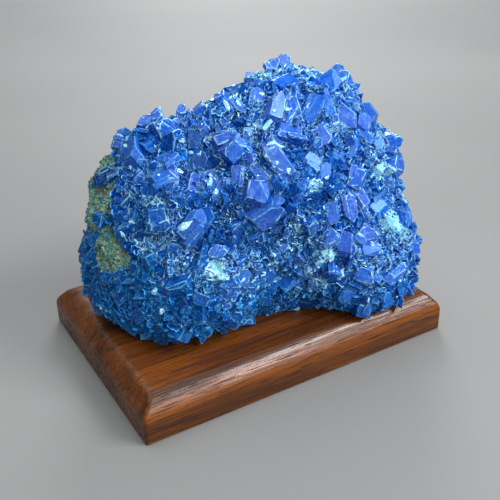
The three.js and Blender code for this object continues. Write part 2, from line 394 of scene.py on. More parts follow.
    def keep(self, geometry: object, name: str, value: object, domain: str,
             kind: str = "FLOAT") -> bpy.types.NodeSocket:
        """Keeps a value as a named attribute.

        Args:
            geometry: the geometry.
            name: the attribute's name.
            value: its value.
            domain: what holds it, such as EDGE or INSTANCE.
            kind: FLOAT or FLOAT_VECTOR.

        Returns:
            The geometry with the attribute.
        """
        return self.add("GeometryNodeStoreNamedAttribute", {"Geometry": geometry, "Name": name,
                        "Value": value}, data_type=kind, domain=domain).outputs[0]

    def rotation(self, angles: object) -> bpy.types.NodeSocket:
        """Returns the rotation by three angles."""
        return self.add("FunctionNodeEulerToRotation", {0: angles}).outputs[0]

    def turned(self, rotation: object, turn: object) -> bpy.types.NodeSocket:
        """Returns a rotation with a further turn about its own axes."""
        return self.add("FunctionNodeRotateRotation", {"Rotation": rotation, "Rotate By": turn},
                        rotation_space="LOCAL").outputs[0]

    def row(self, **parts: object) -> bpy.types.NodeSocket:
        """Returns the vector of its parts X, Y and Z, of which a missing one is 0."""
        return self.add("ShaderNodeCombineXYZ", parts).outputs[0]


def new_group(name: str, kind: str, inputs: Sequence[tuple[str, str]],
              outputs: Sequence[tuple[str, str]]) -> tuple[Nodes, bpy.types.Node, bpy.types.Node]:
    """Makes a node group with its sockets.

    Args:
        name: the group's name.
        kind: GeometryNodeTree or ShaderNodeTree.
        inputs: a name and a socket type for each input.
        outputs: the same for each output.

    Returns:
        The group's nodes, the node that holds its inputs and the one that takes its outputs.
    """
    tree = bpy.data.node_groups.new(name, kind)
    for way, sockets in (("INPUT", inputs), ("OUTPUT", outputs)):
        for label, socket_type in sockets:
            tree.interface.new_socket(name=label, in_out=way, socket_type=f"NodeSocket{socket_type}")
    nodes = Nodes(tree)
    return nodes, nodes.add("NodeGroupInput"), nodes.add("NodeGroupOutput")


# ---------------------------------------------------------------- the form of the crystal mass


@dataclass(frozen=True)
class MassForm:
    """The lumpy ellipsoid that all crystals stand on, with its swells as longitude, latitude, spread
    and rise, and its knobs as waves per radian and height."""

    centre: Row = (5, 0, 48)
    half_sizes: Row = (64, 30, 45)
    turn: float = -18
    swells: Rows = (
        (-30, 6, 28, -11), (9, 50, 26, 7), (60, 62, 26, 8), (111, 50, 26, -14), (134, 26, 26, 5),
        (155, 0, 26, -8), (170, -26, 26, 10), (-45, -20, 24, 16), (-100, -30, 24, -5),
        (-150, -20, 24, 14), (-152, 50, 12, -6), (-70, -48, 10, -5), (-55, -36, 16, 5),
        (-100, 30, 22, 3),
    )
    knobs: Rows = ((8, 1.6), (19, 0.8))
    phases: Row = (1.3, 0.7, 2.1)
    nudge: float = 0.02

    def reach(self, ways: np.ndarray) -> np.ndarray:
        """Measures the form.

        Args:
            ways: unit directions, one row each.

        Returns:
            The distance from the centre to the surface along each direction.
        """
        turn = np.array(Matrix.Rotation(math.radians(-self.turn), 3, "Z"))
        distance = 1 / np.linalg.norm(ways @ turn.T / np.array(self.half_sizes), axis=-1)
        for longitude, latitude, spread, rise in self.swells:
            angle = np.arccos(np.clip(ways @ direction(longitude, latitude), -1, 1))
            distance = distance + rise * np.exp(-((angle / math.radians(spread)) ** 2))
        for rate, height in self.knobs:
            distance = distance + height * np.prod(np.sin(rate * ways + np.array(self.phases)), axis=-1)
        return distance

    def surface(self, ways: np.ndarray, stand: object = 0.0) -> np.ndarray:
        """Returns the points that stand a height over the surface along each unit direction."""
        return ways * (self.reach(ways) + stand)[..., None] + np.array(self.centre)

    def outward(self, ways: np.ndarray) -> np.ndarray:
        """Finds how the surface faces.

        Args:
            ways: one unit direction, or one row for each.

        Returns:
            The direction straight out of the surface there.
        """
        sideways = unit(np.cross(UP, ways))
        upwards = np.cross(ways, sideways)
        here = self.surface(ways)
        beside = self.surface(unit(ways + sideways * self.nudge)) - here
        above = self.surface(unit(ways + upwards * self.nudge)) - here
        return unit(np.cross(beside, above))


class Habit(Enum):
    """Outlines of the large crystals, as along and across in half sizes."""

    TABLET = ((-1, -0.5), (-0.75, -1), (0.85, -1), (1, 0.5), (0.75, 1), (-0.85, 1))
    WEDGE = ((-1, -0.85), (0.4, -1), (1, -0.1), (0.45, 1), (-1, 0.8))
    BLOCK = ((-0.9, -1), (1, -0.9), (0.9, 1), (-1, 0.85))


@dataclass(frozen=True)
class Seat:
    """Where one large crystal is, how it is turned, how large it is and its tone."""

    number: float
    middle: np.ndarray
    axes: np.ndarray
    sizes: np.ndarray
    tone: float

    @property
    def habit(self) -> Habit:
        """The crystal's outline."""
        return list(Habit)[int(chance(self.number, Draw.HABIT) * len(Habit))]

    def local(self, points: np.ndarray) -> np.ndarray:
        """Returns points in the crystal's own axes."""
        return (points - self.middle) @ self.axes.T


@dataclass(frozen=True)
class CrustPlace:
    """Where the host rock lies on the mass, as an outline of longitudes and latitudes."""

    outline: Rows = (
        (158, 30), (167, 29), (173, 24), (176, 18), (176, 11), (179, 6), (187, 1), (189, -4), (183, -7),
        (174, -6), (171, 0), (166, 4), (158, 3), (148, 6), (140, 14), (138, 22), (143, 29), (150, 33),
    )

    def inside(self, ways: np.ndarray) -> np.ndarray:
        """Measures how far directions lie inside the outline.

        Args:
            ways: unit directions, one row each.

        Returns:
            For each direction, the degrees from it to the outline, below zero outside.
        """
        longitude = np.degrees(np.arctan2(ways[:, 1], ways[:, 0])) % 360
        latitude = np.degrees(np.arcsin(np.clip(ways[:, 2], -1, 1)))
        corners = np.array(self.outline, float)
        nexts = np.roll(corners, -1, axis=0)
        spot = np.stack([longitude, latitude], axis=1)[:, None, :]
        edge = nexts - corners
        share = np.clip(((spot - corners) * edge).sum(-1) / (edge**2).sum(-1), 0, 1)
        nearest = np.linalg.norm(spot - corners - share[..., None] * edge, axis=-1).min(1)
        crosses = (corners[:, 1] > spot[..., 1]) != (nexts[:, 1] > spot[..., 1])
        slope = (spot[..., 1] - corners[:, 1]) / np.where(edge[:, 1] == 0, TINY, edge[:, 1])
        left = spot[..., 0] < corners[:, 0] + slope * edge[:, 0]
        odd = (crosses & left).sum(1) % 2 == 1
        return np.where(odd, nearest, -nearest)


@dataclass(frozen=True)
class LargeCrystals:
    """The large crystals that show singly: the showy ones listed, and the others where there is room.

    A showy row is longitude, latitude, turn of the long edge from level, length, width and stand. A late
    row, for the crystals that grew through others or out of the host rock, adds a tone. A growth is
    tries, least distance, shortest and longest length.
    """

    show_way: Row = (-120, 28)
    showy_swing: float = 24
    showy: Rows = (
        (190, 34, 34, 10, 6, 1.5), (202, 35, 70, 8, 5, 1), (206, 41, 75, 6, 4, 1),
        (212, 39, 65, 6, 4, 1), (188, 41, 40, 6, 5, 1), (161, 34, 150, 6, 5, 2.2),
        (156, 36, 105, 6, 4, 4.2), (156, 45, 80, 7, 6, 3.8), (158, 50, 60, 6, 5, 3.8),
        (160, 59, 100, 6, 3.4, 4.6), (181, 29, 60, 5, 4, 1), (184, 36, 20, 5, 4, 1),
        (195, 75, -57, 12, 5, 1.5), (214, 77, -65, 10, 4, 1.5), (259, 83, 80, 9, 5, 1.5),
        (274, 73, 65, 11, 6, 2), (290, 69, 70, 12, 5, 1.5), (276, 61, -8, 12, 6, 2),
        (211, 61, 15, 9, 5, 1.5), (222, 57, 40, 9, 8, 2), (233, 63, 80, 7, 4, 1),
        (236, 53, 60, 6, 4, 1), (259, 50, -52, 15, 6, 1.5), (246, 45, -52, 12, 5, 1),
        (262, 60, -35, 7, 3, 1.5), (23, 68, 88, 10, 4, 4), (32, 71, 80, 7, 5, 3),
        (35, 74, 95, 5, 3, 4), (299, 69, -75, 12, 6, 1.5), (308, 63, 60, 12, 6, 1.5),
        (299, 53, 20, 8, 7, 2), (323, 49, -40, 9, 7, 1.5), (318, 57, -70, 12, 6, 1.5),
        (329, 42, 60, 8, 7, 1.5), (326, 38, -32, 9, 4, 2), (330, 30, 80, 6, 5, 1.5),
        (341, 24, 15, 8, 6, 3), (335, 18, -20, 10, 9, 2), (307, 27, 70, 9, 7, 2),
        (309, 18, -60, 9, 6, 1.5), (316, 8, 35, 9, 7, 2), (289, 18, -80, 9, 6, 1.5),
        (299, 16, -70, 11, 7, 2), (290, 38, 80, 7, 5, 1), (307, 41, 70, 7, 5, 1),
        (246, 24, 35, 12, 7, 2), (217, 36, 62, 9, 3.5, 1.5), (241, 36, 80, 9, 8, 1.5),
        (257, 4, 40, 6, 5, 1), (227, -9, 10, 7, 5, 1), (247, -16, -55, 10, 5, 1),
        (239, 3, 60, 6, 4, 1), (212, 21, 60, 9, 6, 1.5), (286, 3, 20, 7, 6, 1.5),
        (291, -1, 80, 9, 6, 1.5), (303, 0, -40, 8, 7, 1.5), (301, -6, 0, 8, 5, 1.5),
        (331, -9, 75, 8, 6, 1.5), (321, -11, -15, 8, 6, 1), (297, -16, -30, 8, 7, 1.5),
        (307, -16, 40, 11, 6, 1.5), (304, -25, -70, 8, 5, 1), (165, -6, 70, 8, 6, 1.5),
        (171, -22, 20, 6, 6, 1.5), (203, -15, 50, 5, 4, 1), (180, -33, -80, 7, 5, 2),
        (194, -38, -85, 6, 5, 2.5), (194, -18, 30, 8, 7, 1), (199, -11, 10, 7, 5, 1),
        (217, -12, -30, 7, 5, 1), (219, 5, 50, 6, 5, 1), (203, 6, -20, 6, 5, 1),
        (278, -17, 20, 7, 5, 1), (270, 36, 60, 7, 5, 1), (227, 45, 80, 7, 5, 1),
        (282, 46, -30, 7, 5, 1),
    )
    late: Rows = (
        (207, 17, 50, 13.5, 8, 0.8, 0.85), (182, 46, 85, 8, 6, 0.5, 0), (190, 53, 80, 8, 7, 0.5, 0.05),
        (196, 46, 85, 8, 6, 0, 0), (203, 51, 80, 7, 6, 0.3, 0.1), (186, 40, 20, 7, 5, 0.5, 0.3),
        (173, 10, 70, 6, 4.5, 2.2, 0.3), (173, 3, 30, 7, 5.5, 2.2, 0.3), (168, 23, 15, 8, 5, 2.2, 0.1),
        (164, 20, 60, 5, 4, 2.4, 0.1), (171, 26, 20, 6, 4, 2, 0.2), (174, -2, 50, 7, 6, 1.5, 0.4),
        (192, 33, 30, 9, 7, 1, 0.95), (186, 31, 60, 6, 5, 1, 0.8), (225, -14, 40, 8, 6, 1, 0.8),
        (232, -10, 70, 7, 5, 1, 0.6), (181, -8, 60, 6, 5, 1.6, 0.3), (186, -6, 20, 6, 5, 1.6, 0.2),
        (191, -3, 70, 6, 4, 1.4, 0.3), (176, -7, 110, 6, 5, 1.6, 0.2),
    )
    first_late_number: int = 900
    growths: Rows = ((900, 12, 9, 12), (1800, 8.4, 6, 9))
    first_spread_number: int = 300
    lowest_seat: float = 19
    seat_overlap: float = 1
    crust_border: float = 3
    lying_share: float = 0.5
    lean: Row = (10, 60)
    stand: Row = (-0.8, 0.6)
    width_share: Row = (0.55, 0.85)
    thickness_share: Row = (0.5, 0.8)
    sink: float = 0.6
    slant: float = 0.16
    taper: float = 0.92
    wander: float = 0.13
    cuts: int = 6
    cut_spread: float = 0.8
    cut_rise: Row = (0.1, 1.5)
    cut_depths: Row = (0.08, 0.34)
    least_edge: float = 0.45
    least_gap: float = 0.01
    companion_share: float = 0.55
    companion_sizes: Rows = ((0.6, 1.0), (0.35, 0.6), (0.9, 1.15))
    companion_shift: Row = (0.2, 0.38, 0.12)
    companion_rise: float = 0.6
    companion_tones: Row = (-0.2, 0.2)
    showy_tones: Row = (0.45, 1.0)
    spread_tones: Row = (0.1, 0.75)
    bevel: float = 0.2
    pattern_step: float = 40

    def swung(self, way: np.ndarray, swing: float, number: float) -> np.ndarray:
        """Returns a unit direction swung from `way` by some degrees, the same for the same number."""
        aside = np.array([chance(number, Draw.SWING_WAY + i) for i in range(3)]) - 0.5
        return turned(way, unit(np.cross(aside, way)), swing)

    def seat(self, number: int, middle: np.ndarray, along: np.ndarray, face: np.ndarray,
             length: float, width: float, tone: float) -> Seat:
        """Returns a seat whose long edge is brought square to its broad face.

        Args:
            number: the crystal's number.
            middle: its middle.
            along: about where its long edge points.
            face: the way out of its broad face.
            length: its length.
            width: its width.
            tone: its colour from deep, 0, to bright, 1.

        Returns:
            The seat.
        """
        thickness = width * between(*self.thickness_share, chance(number, Draw.THICKNESS))
        across = unit(np.cross(face, along))
        axes = np.array([unit(np.cross(across, face)), across, face])
        return Seat(number, middle, axes, np.array([length, width, thickness]), tone)

    def faced(self, form: MassForm, number: int, row: Row) -> Seat:
        """Returns the seat of a listed crystal, whose broad face is turned to the show side.

        Args:
            form: the mass that it stands on.
            number: its number.
            row: its row of a table.

        Returns:
            The seat.
        """
        longitude, latitude, turn, length, width, stand, *tones = row
        way, towards = direction(longitude, latitude), direction(*self.show_way)
        level = unit(np.cross(UP, towards))
        rising = np.cross(towards, level)
        half = unit(form.outward(way) + towards)
        face = self.swung(half, self.showy_swing * chance(number, Draw.SWING), number)
        along = level * math.cos(math.radians(turn)) + rising * math.sin(math.radians(turn))
        tone = tones[0] if tones else between(*self.showy_tones, chance(number, Draw.TONE))
        return self.seat(number, form.surface(way, stand - self.sink), along, face, length, width, tone)

    def seats(self, form: MassForm, crust: CrustPlace) -> list[Seat]:
        """Returns the seats of all large crystals.

        Args:
            form: the mass that they stand on.
            crust: the place that they leave free.

        Returns:
            The seats, the showy ones first.
        """
        made = [self.faced(form, number, row) for number, row in enumerate(self.showy)]
        made += self.spread(form, crust, [seat.middle for seat in made])
        made += [self.faced(form, self.first_late_number + i, row) for i, row in enumerate(self.late)]
        centre = np.array(form.centre)
        return made + [self.companion(seat, unit(seat.middle - centre)) for seat in made
                       if chance(seat.number, Draw.COMPANION) < self.companion_share]

    def spread(self, form: MassForm, crust: CrustPlace, taken: list[np.ndarray]) -> list[Seat]:
        """Finds room for more crystals between the showy ones.

        Args:
            form: the mass that they stand on.
            crust: the place that they leave free.
            taken: the spots of the showy crystals, to which the new ones are added.

        Returns:
            The seats of the new crystals.
        """
        made = []
        sizes = [row[3] for row in self.showy]
        for tries, spacing, shortest, longest in self.growths:
            for i in range(tries):
                longitude = math.fmod(i * GOLDEN_ANGLE, 360) - 180
                latitude = math.degrees(math.asin(1 - 2 * chance(i, tries)))
                way = direction(longitude, latitude)
                spot = form.surface(way)
                room = np.linalg.norm(np.array(taken) - spot, axis=1)
                near = room <= (spacing + np.array(sizes)) / 2 - self.seat_overlap
                if spot[2] < self.lowest_seat or near.any():
                    continue
                if crust.inside(way[None])[0] > -self.crust_border:
                    continue
                number = self.first_spread_number + len(made)
                made.append(self.scattered(form, number, way, (shortest, longest)))
                taken.append(spot)
                sizes.append(spacing)
        return made

    def scattered(self, form: MassForm, number: int, way: np.ndarray, lengths: Row) -> Seat:
        """Returns the seat of a crystal placed by chance, lying or standing.

        Args:
            form: the mass that it stands on.
            number: its number.
            way: the direction that it is seen in from the centre.
            lengths: its shortest and longest length.

        Returns:
            The seat.
        """
        length = between(*lengths, chance(number, Draw.LENGTH))
        width = length * between(*self.width_share, chance(number, Draw.WIDTH))
        pole = self.swung(form.outward(way), between(*self.lean, chance(number, Draw.LEAN)), number)
        side = self.swung(pole, 90, number + 0.5)
        along, face = (side, pole) if chance(number, Draw.LYING) < self.lying_share else (pole, side)
        middle = form.surface(way, between(*self.stand, chance(number, Draw.STAND)))
        tone = between(*self.spread_tones, chance(number, Draw.TONE))
        return self.seat(number, middle, along, face, length, width, tone)

    def companion(self, seat: Seat, way: np.ndarray) -> Seat:
        """Returns the seat of a slimmer crystal that grew through another one in the same direction.

        Args:
            seat: the other crystal's seat.
            way: the direction out of the mass there.

        Returns:
            The seat, which rises no more than a little over the other one.
        """
        number = seat.number + 0.5
        shares = [between(*limits, chance(number, Draw.COMPANION_SIZE + i))
                  for i, limits in enumerate(self.companion_sizes)]
        signs = [math.copysign(1, chance(number, Draw.COMPANION_SIDE + i) - 0.5) for i in range(2)] + [1]
        shift = (np.array(signs) * np.array(self.companion_shift) * seat.sizes) @ seat.axes
        shift -= way * max(0.0, shift @ way - self.companion_rise)
        tone = seat.tone + between(*self.companion_tones, chance(number, Draw.COMPANION_TONE))
        return Seat(number, seat.middle + shift, seat.axes, seat.sizes * np.array(shares), tone)

    def cut_planes(self, seat: Seat) -> Iterable[tuple[np.ndarray, np.ndarray]]:
        """Finds the planes that cut a crystal's ends and edges.

        Args:
            seat: the crystal's seat.

        Yields:
            A spot on each plane and the way out of it, in the crystal's own axes.
        """
        half = seat.sizes / 2
        for i in range(self.cuts):
            spin = math.tau * (i + self.cut_spread * chance(seat.number, Draw.CUT_SPIN + i)) / self.cuts
            rise = between(*self.cut_rise, chance(seat.number, Draw.CUT_RISE + i))
            way = unit(np.array([math.cos(spin), math.sin(spin), rise]))
            depth = between(*self.cut_depths, chance(seat.number, Draw.CUT_DEPTH + i))
            reach = np.abs(way).sum() * (1 - depth)
            yield way * reach * half, unit(way / half)

    def prism(self, seat: Seat, shape: bmesh.types.BMesh) -> None:
        """Adds a crystal's slanted prism to an empty shape, in its own axes.

        Args:
            seat: the crystal's seat.
            shape: the shape to fill.
        """
        rings = []
        for height, scale in ((-1, 1), (1, self.taper)):
            ring = []
            for i, (along, across) in enumerate(seat.habit.value):
                shift = height * self.slant
                pulls = [between(-self.wander, self.wander, chance(seat.number, Draw.CORNER + 2 * i + k))
                         for k in range(2)]
                own = ((along + pulls[0]) * scale + shift, (across + pulls[1]) * scale - shift, height)
                ring.append(shape.verts.new(np.array(own) * seat.sizes / 2))
            rings.append(ring)
        shape.faces.new(rings[0][::-1])
        shape.faces.new(rings[1])
        for i, corner in enumerate(rings[0]):
            j = (i + 1) % len(rings[0])
            shape.faces.new((corner, rings[0][j], rings[1][j], rings[1][i]))

    def crystal(self, seat: Seat) -> bpy.types.Mesh:
        """Builds one closed crystal with worn edges.

        Args:
            seat: the crystal's seat.

        Returns:
            Its mesh, whose bevels have material number 1.
        """
        shape = bmesh.new()
        self.prism(seat, shape)
        for spot, way in self.cut_planes(seat):
            everything = shape.verts[:] + shape.edges[:] + shape.faces[:]
            cut = bmesh.ops.bisect_plane(shape, geom=everything, plane_co=spot, plane_no=way,
                                         clear_outer=True)
            rim = [item for item in cut["geom_cut"] if isinstance(item, bmesh.types.BMEdge)]
            if rim:
                bmesh.ops.contextual_create(shape, geom=rim)
        bmesh.ops.remove_doubles(shape, verts=shape.verts, dist=self.least_edge)
        bmesh.ops.recalc_face_normals(shape, faces=shape.faces)
        bmesh.ops.bevel(shape, geom=shape.edges[:], offset=self.bevel, segments=1, profile=0.5,
                        affect="EDGES", clamp_overlap=True, material=1)
        bmesh.ops.dissolve_degenerate(shape, dist=self.least_gap, edges=shape.edges[:])
        own = np.array([corner.co for corner in shape.verts])
        for corner, place in zip(shape.verts, own @ seat.axes + seat.middle):
            corner.co = place * MM
        mesh = mesh_from(shape, "crystal")
        store(mesh, "tone", np.full(len(own), seat.tone))
        store(mesh, "local", own + self.pattern_step * seat.number)
        return mesh

    def build(self, seats: Sequence[Seat], material: bpy.types.Material) -> bpy.types.Object:
        """Builds the large crystals as one piece of closed bodies with worn edges.

        Args:
            seats: where they are.
            material: their finish.

        Returns:
            The piece.
        """
        shape = bmesh.new()
        shape.verts.layers.float.new("tone")
        shape.verts.layers.float_vector.new("local")
        for seat in seats:
            single = self.crystal(seat)
            shape.from_mesh(single)
            bpy.data.meshes.remove(single)
        rim = fan_faces(shape, [face for face in shape.faces if face.material_index == 0])
        for face in shape.faces:
            face.material_index = 0
        mesh = mesh_from(shape, "large_crystals")
        store(mesh, "rim", rim)
        mesh.materials.append(material)
        return link("large_crystals", mesh)


def fan_faces(shape: bmesh.types.BMesh, faces: Sequence[bmesh.types.BMFace]) -> np.ndarray:
    """Parts faces into triangles round their middles.

    Args:
        shape: the shape that holds them.
        faces: the faces to part.

    Returns:
        For each vertex, its distance from the nearest edge of its face in millimetres: 0 on an edge.
    """
    middles = bmesh.ops.poke(shape, faces=faces)["verts"]
    shape.verts.index_update()
    rim = np.zeros(len(shape.verts))
    for middle in middles:
        area = sum(face.calc_area() for face in middle.link_faces)
        around = sum(face.calc_perimeter() for face in middle.link_faces)
        spokes = 2 * sum(edge.calc_length() for edge in middle.link_edges)
        rim[middle.index] = 2 * area / (around - spokes) / MM
    return rim


@dataclass(frozen=True)
class Powder:
    """Where pale powder lies between the crystals, as longitude, latitude, spread and amount."""

    spots: Rows = (
        (36, 73, 9, 0.8), (348, 56, 7, 1), (278, 34, 4, 1), (328, 22, 4.5, 1), (284, -7, 5, 1),
        (317, 0, 7, 0.9), (282, -26, 3.5, 0.8), (265, 14, 4, 0.8), (221, -2, 5, 1), (227, -17, 4, 0.9),
        (198, 74, 5, 0.8), (314, 50, 4, 0.7), (247, 66, 5, 0.8), (191, 22, 5, 0.7), (206, 6, 4, 0.6),
        (60, 30, 8, 0.7), (100, 55, 8, 0.7), (120, 10, 8, 0.6), (20, 5, 8, 0.8), (70, -15, 8, 0.6),
        (196, 9, 10, 0.42), (207, 0, 10, 0.42), (232, -6, 12, 0.42), (247, -16, 12, 0.42),
        (300, -8, 14, 0.42), (315, 64, 14, 0.45), (0, 66, 14, 0.45), (330, 30, 12, 0.45),
    )
    strength: float = 1.05

    def amount(self, ways: np.ndarray) -> np.ndarray:
        """Adds up the powder.

        Args:
            ways: unit directions, one row each.

        Returns:
            How much powder lies along each direction, from 0 to about 1.
        """
        total = np.zeros(len(ways))
        for longitude, latitude, spread, share in self.spots:
            angle = np.degrees(np.arccos(np.clip(ways @ direction(longitude, latitude), -1, 1)))
            total = np.maximum(total, share * np.exp(-((angle / spread) ** 2)))
        return total * self.strength


# ---------------------------------------------------------------- finishes


def new_material(name: str) -> tuple[bpy.types.Material, Nodes, bpy.types.Node]:
    """Starts a material.

    Args:
        name: the material's name.

    Returns:
        The material, its nodes and its Principled shader.
    """
    made = bpy.data.materials.new(name)
    made.use_nodes = True
    return made, Nodes(made.node_tree), made.node_tree.nodes["Principled BSDF"]


@dataclass(frozen=True)
class CrystalPattern:
    """The pattern that all crystals share: a body colour by tone, with painted shade on the low left flank,
    cloudy inside, with pale edges, partly a painted highlight, and frosted spots.

    A noise is its scale, its detail and, where given, its roughness and distortion. A step is the two
    values that it rises between and, where they aren't 0 and 1, its two results.
    """

    # The painted shade on the low left flank: its wandering border, where it fades out and how far it darkens
    # the body.
    painted_shade_noise: Row = (55.0, 2.0)
    painted_shade_wander: float = 0.9
    painted_shade_step: Row = (0.0, 0.75, 1.0, 0.0)
    painted_shade_share: float = 0.8
    cloud_noise: Row = (0.45, 3.0, 0.6, 0.6)
    cloudiness: float = 1.1
    middle_step: Row = (0.0, 0.45)
    bright_step: Row = (0.45, 0.95)
    veil_noise: Row = (0.32, 4.0, 0.65, 1.2)
    dark_veil: Color = (0.0, 0.02, 0.22)
    dark_veil_step: Row = (0.3, 0.5, 0.6, 0.0)
    pale_veil_step: Row = (0.55, 0.75, 0.0, 0.32)
    streak_stretch: Row = (0.1, 1.0, 1.0)
    streak_noise: Row = (1.2, 3.0, 0.65)
    streak_step: Row = (0.5, 0.68, 0.0, 0.18)
    faint_noise: Row = (75.0, 2.0)
    faint_step: Row = (0.38, 0.58)
    faint_tones: Row = (0.0, 0.2)
    faintness: float = 0.35
    dullness: float = 0.85
    broken_noise: Row = (0.7, 2.0)
    broken_step: Row = (0.4, 0.56)
    crack_bend: Row = (480.0, 2.0, 0.0026)
    crack_cells: float = 340.0
    crack_step: Row = (0.025, 0.075, 1.0, 0.0)
    patch_noise: Row = (230.0, 2.0)
    patch_step: Row = (0.47, 0.56)
    grain_noise: Row = (2400.0, 3.0, 0.65)
    crumb_noise: Row = (1100.0, 2.0)
    crumb_share: float = 1.6
    frost_step: Row = (0.45, 0.65)
    frost_roughness: float = 0.5
    veil_roughness: float = 0.15
    line_roughness: float = 0.2
    cloud_height: float = 0.3
    streak_height: float = 0.35
    line_height: float = 0.3

    def flank(self, nodes: Nodes, place: bpy.types.NodeSocket) -> bpy.types.NodeSocket:
        """Returns how far a place lies on the low left flank, which gets painted shade, with a wandering
        border.
        """
        wander = nodes.centred(nodes.noise(place, *self.painted_shade_noise), self.painted_shade_wander)
        return nodes.ramp(nodes.math("ADD", nodes.height_over(place, PAINTED_SHADE_SLOPE), wander), *self.painted_shade_step)

    def body(self, nodes: Nodes, source: bpy.types.NodeOutputs, flank: bpy.types.NodeSocket,
             cloud: bpy.types.NodeSocket) -> bpy.types.NodeSocket:
        """Mixes the colour inside a crystal.

        Args:
            nodes: the group's nodes.
            source: the group's inputs.
            flank: how far the place lies on the flank with painted shade.
            cloud: the cloudiness at the place.

        Returns:
            The colour.
        """
        tone = nodes.math("ADD", source["Tone"], nodes.centred(cloud, self.cloudiness))
        colour = nodes.blend(nodes.ramp(tone, *self.middle_step), source["Deep"], source["Middle"])
        colour = nodes.blend(nodes.ramp(tone, *self.bright_step), colour, source["Bright"])
        # Painted shade: the body turns to the darker shade colour on the low left flank.
        return nodes.blend(nodes.scaled(flank, self.painted_shade_share), colour, source["Shade"])

    def lines(self, nodes: Nodes, source: bpy.types.NodeOutputs,
              place: bpy.types.NodeSocket) -> bpy.types.NodeSocket:
        """Draws the pale edges, partly worn and partly a painted highlight, which break off here and there,
        and the fine cracks.

        Args:
            nodes: the group's nodes.
            source: the group's inputs.
            place: the place on the object.

        Returns:
            The lines' strength.
        """
        broken = nodes.ramp(nodes.noise(source["Local"], *self.broken_noise), *self.broken_step)
        edge = nodes.ramp(nodes.math("DIVIDE", source["Rim"], source["Edge Width"]), 0.0, 1.0, 1.0, 0.0)
        line = nodes.math("MULTIPLY", nodes.math("MULTIPLY", edge, broken), source["Edge Share"])
        cells = nodes.cells(nodes.bend(place, *self.crack_bend), self.crack_cells)
        patch = nodes.ramp(nodes.noise(place, *self.patch_noise), *self.patch_step)
        crack = nodes.math("MULTIPLY", nodes.ramp(cells, *self.crack_step), patch)
        return nodes.math("MAXIMUM", line, nodes.math("MULTIPLY", crack, source["Crackle"]))

    def group(self) -> bpy.types.NodeTree:
        """Builds the pattern as a shader node group.

        Returns:
            The group, which gives a colour, a roughness and the height of a fine relief.
        """
        nodes, given, result = new_group(
            "crystal colour", "ShaderNodeTree",
            [("Tone", "Float"), ("Rim", "Float"), ("Frost", "Float"), ("Local", "Vector"),
             ("Deep", "Color"), ("Middle", "Color"), ("Bright", "Color"), ("Shade", "Color"),
             ("Edge", "Color"), ("Shade Edge", "Color"), ("White", "Color"), ("Edge Width", "Float"),
             ("Edge Share", "Float"), ("Crackle", "Float"), ("Gloss", "Float")],
            [("Color", "Color"), ("Roughness", "Float"), ("Height", "Float")])
        source = given.outputs
        place = nodes.place()
        flank = self.flank(nodes, place)
        cloud = nodes.noise(source["Local"], *self.cloud_noise)
        veil = nodes.noise(source["Local"], *self.veil_noise)
        streak = nodes.noise(nodes.vector("MULTIPLY", source["Local"], self.streak_stretch),
                             *self.streak_noise)
        strong = nodes.math("MULTIPLY", nodes.ramp(nodes.noise(place, *self.faint_noise), *self.faint_step),
                            nodes.ramp(source["Tone"], *self.faint_tones))
        faint = nodes.math("SUBTRACT", 1.0, strong)
        # Where shade is painted on the low left flank, and where lines are faint, the pale colour turns to
        # the darker shade edge.
        pale = nodes.blend(nodes.scaled(nodes.math("MAXIMUM", flank, faint), self.dullness),
                           source["Edge"], source["Shade Edge"])
        colour = self.body(nodes, source, flank, cloud)
        colour = nodes.blend(nodes.ramp(veil, *self.dark_veil_step), colour, self.dark_veil)
        colour = nodes.blend(nodes.ramp(veil, *self.pale_veil_step), colour, pale)
        colour = nodes.blend(nodes.ramp(streak, *self.streak_step), colour, pale)
        line = nodes.math("MULTIPLY", self.lines(nodes, source, place),
                          nodes.math("SUBTRACT", 1.0, nodes.scaled(faint, self.faintness)))
        # Pale edge lines, partly a painted highlight, and pale cracks.
        colour = nodes.blend(line, colour, pale)
        grain = nodes.noise(place, *self.grain_noise)
        crumb = nodes.centred(nodes.noise(place, *self.crumb_noise), self.crumb_share)
        crumbly = nodes.math("ADD", crumb, nodes.math("SUBTRACT", grain, 0.5))
        frost = nodes.ramp(nodes.math("ADD", source["Frost"], crumbly), *self.frost_step)
        rough = nodes.math("ADD", source["Gloss"], nodes.scaled(frost, self.frost_roughness))
        rough = nodes.math("ADD", rough, nodes.scaled(veil, self.veil_roughness))
        crust = nodes.math("MULTIPLY", frost, grain)
        relief = nodes.math("ADD", nodes.scaled(cloud, self.cloud_height), crust)
        relief = nodes.math("ADD", relief, nodes.scaled(streak, self.streak_height))
        nodes.fill(result, {
            "Color": nodes.blend(frost, colour, source["White"]),
            "Roughness": nodes.math("ADD", rough, nodes.scaled(line, self.line_roughness)),
            "Height": nodes.math("ADD", relief, nodes.scaled(line, self.line_height))})
        return nodes.tree


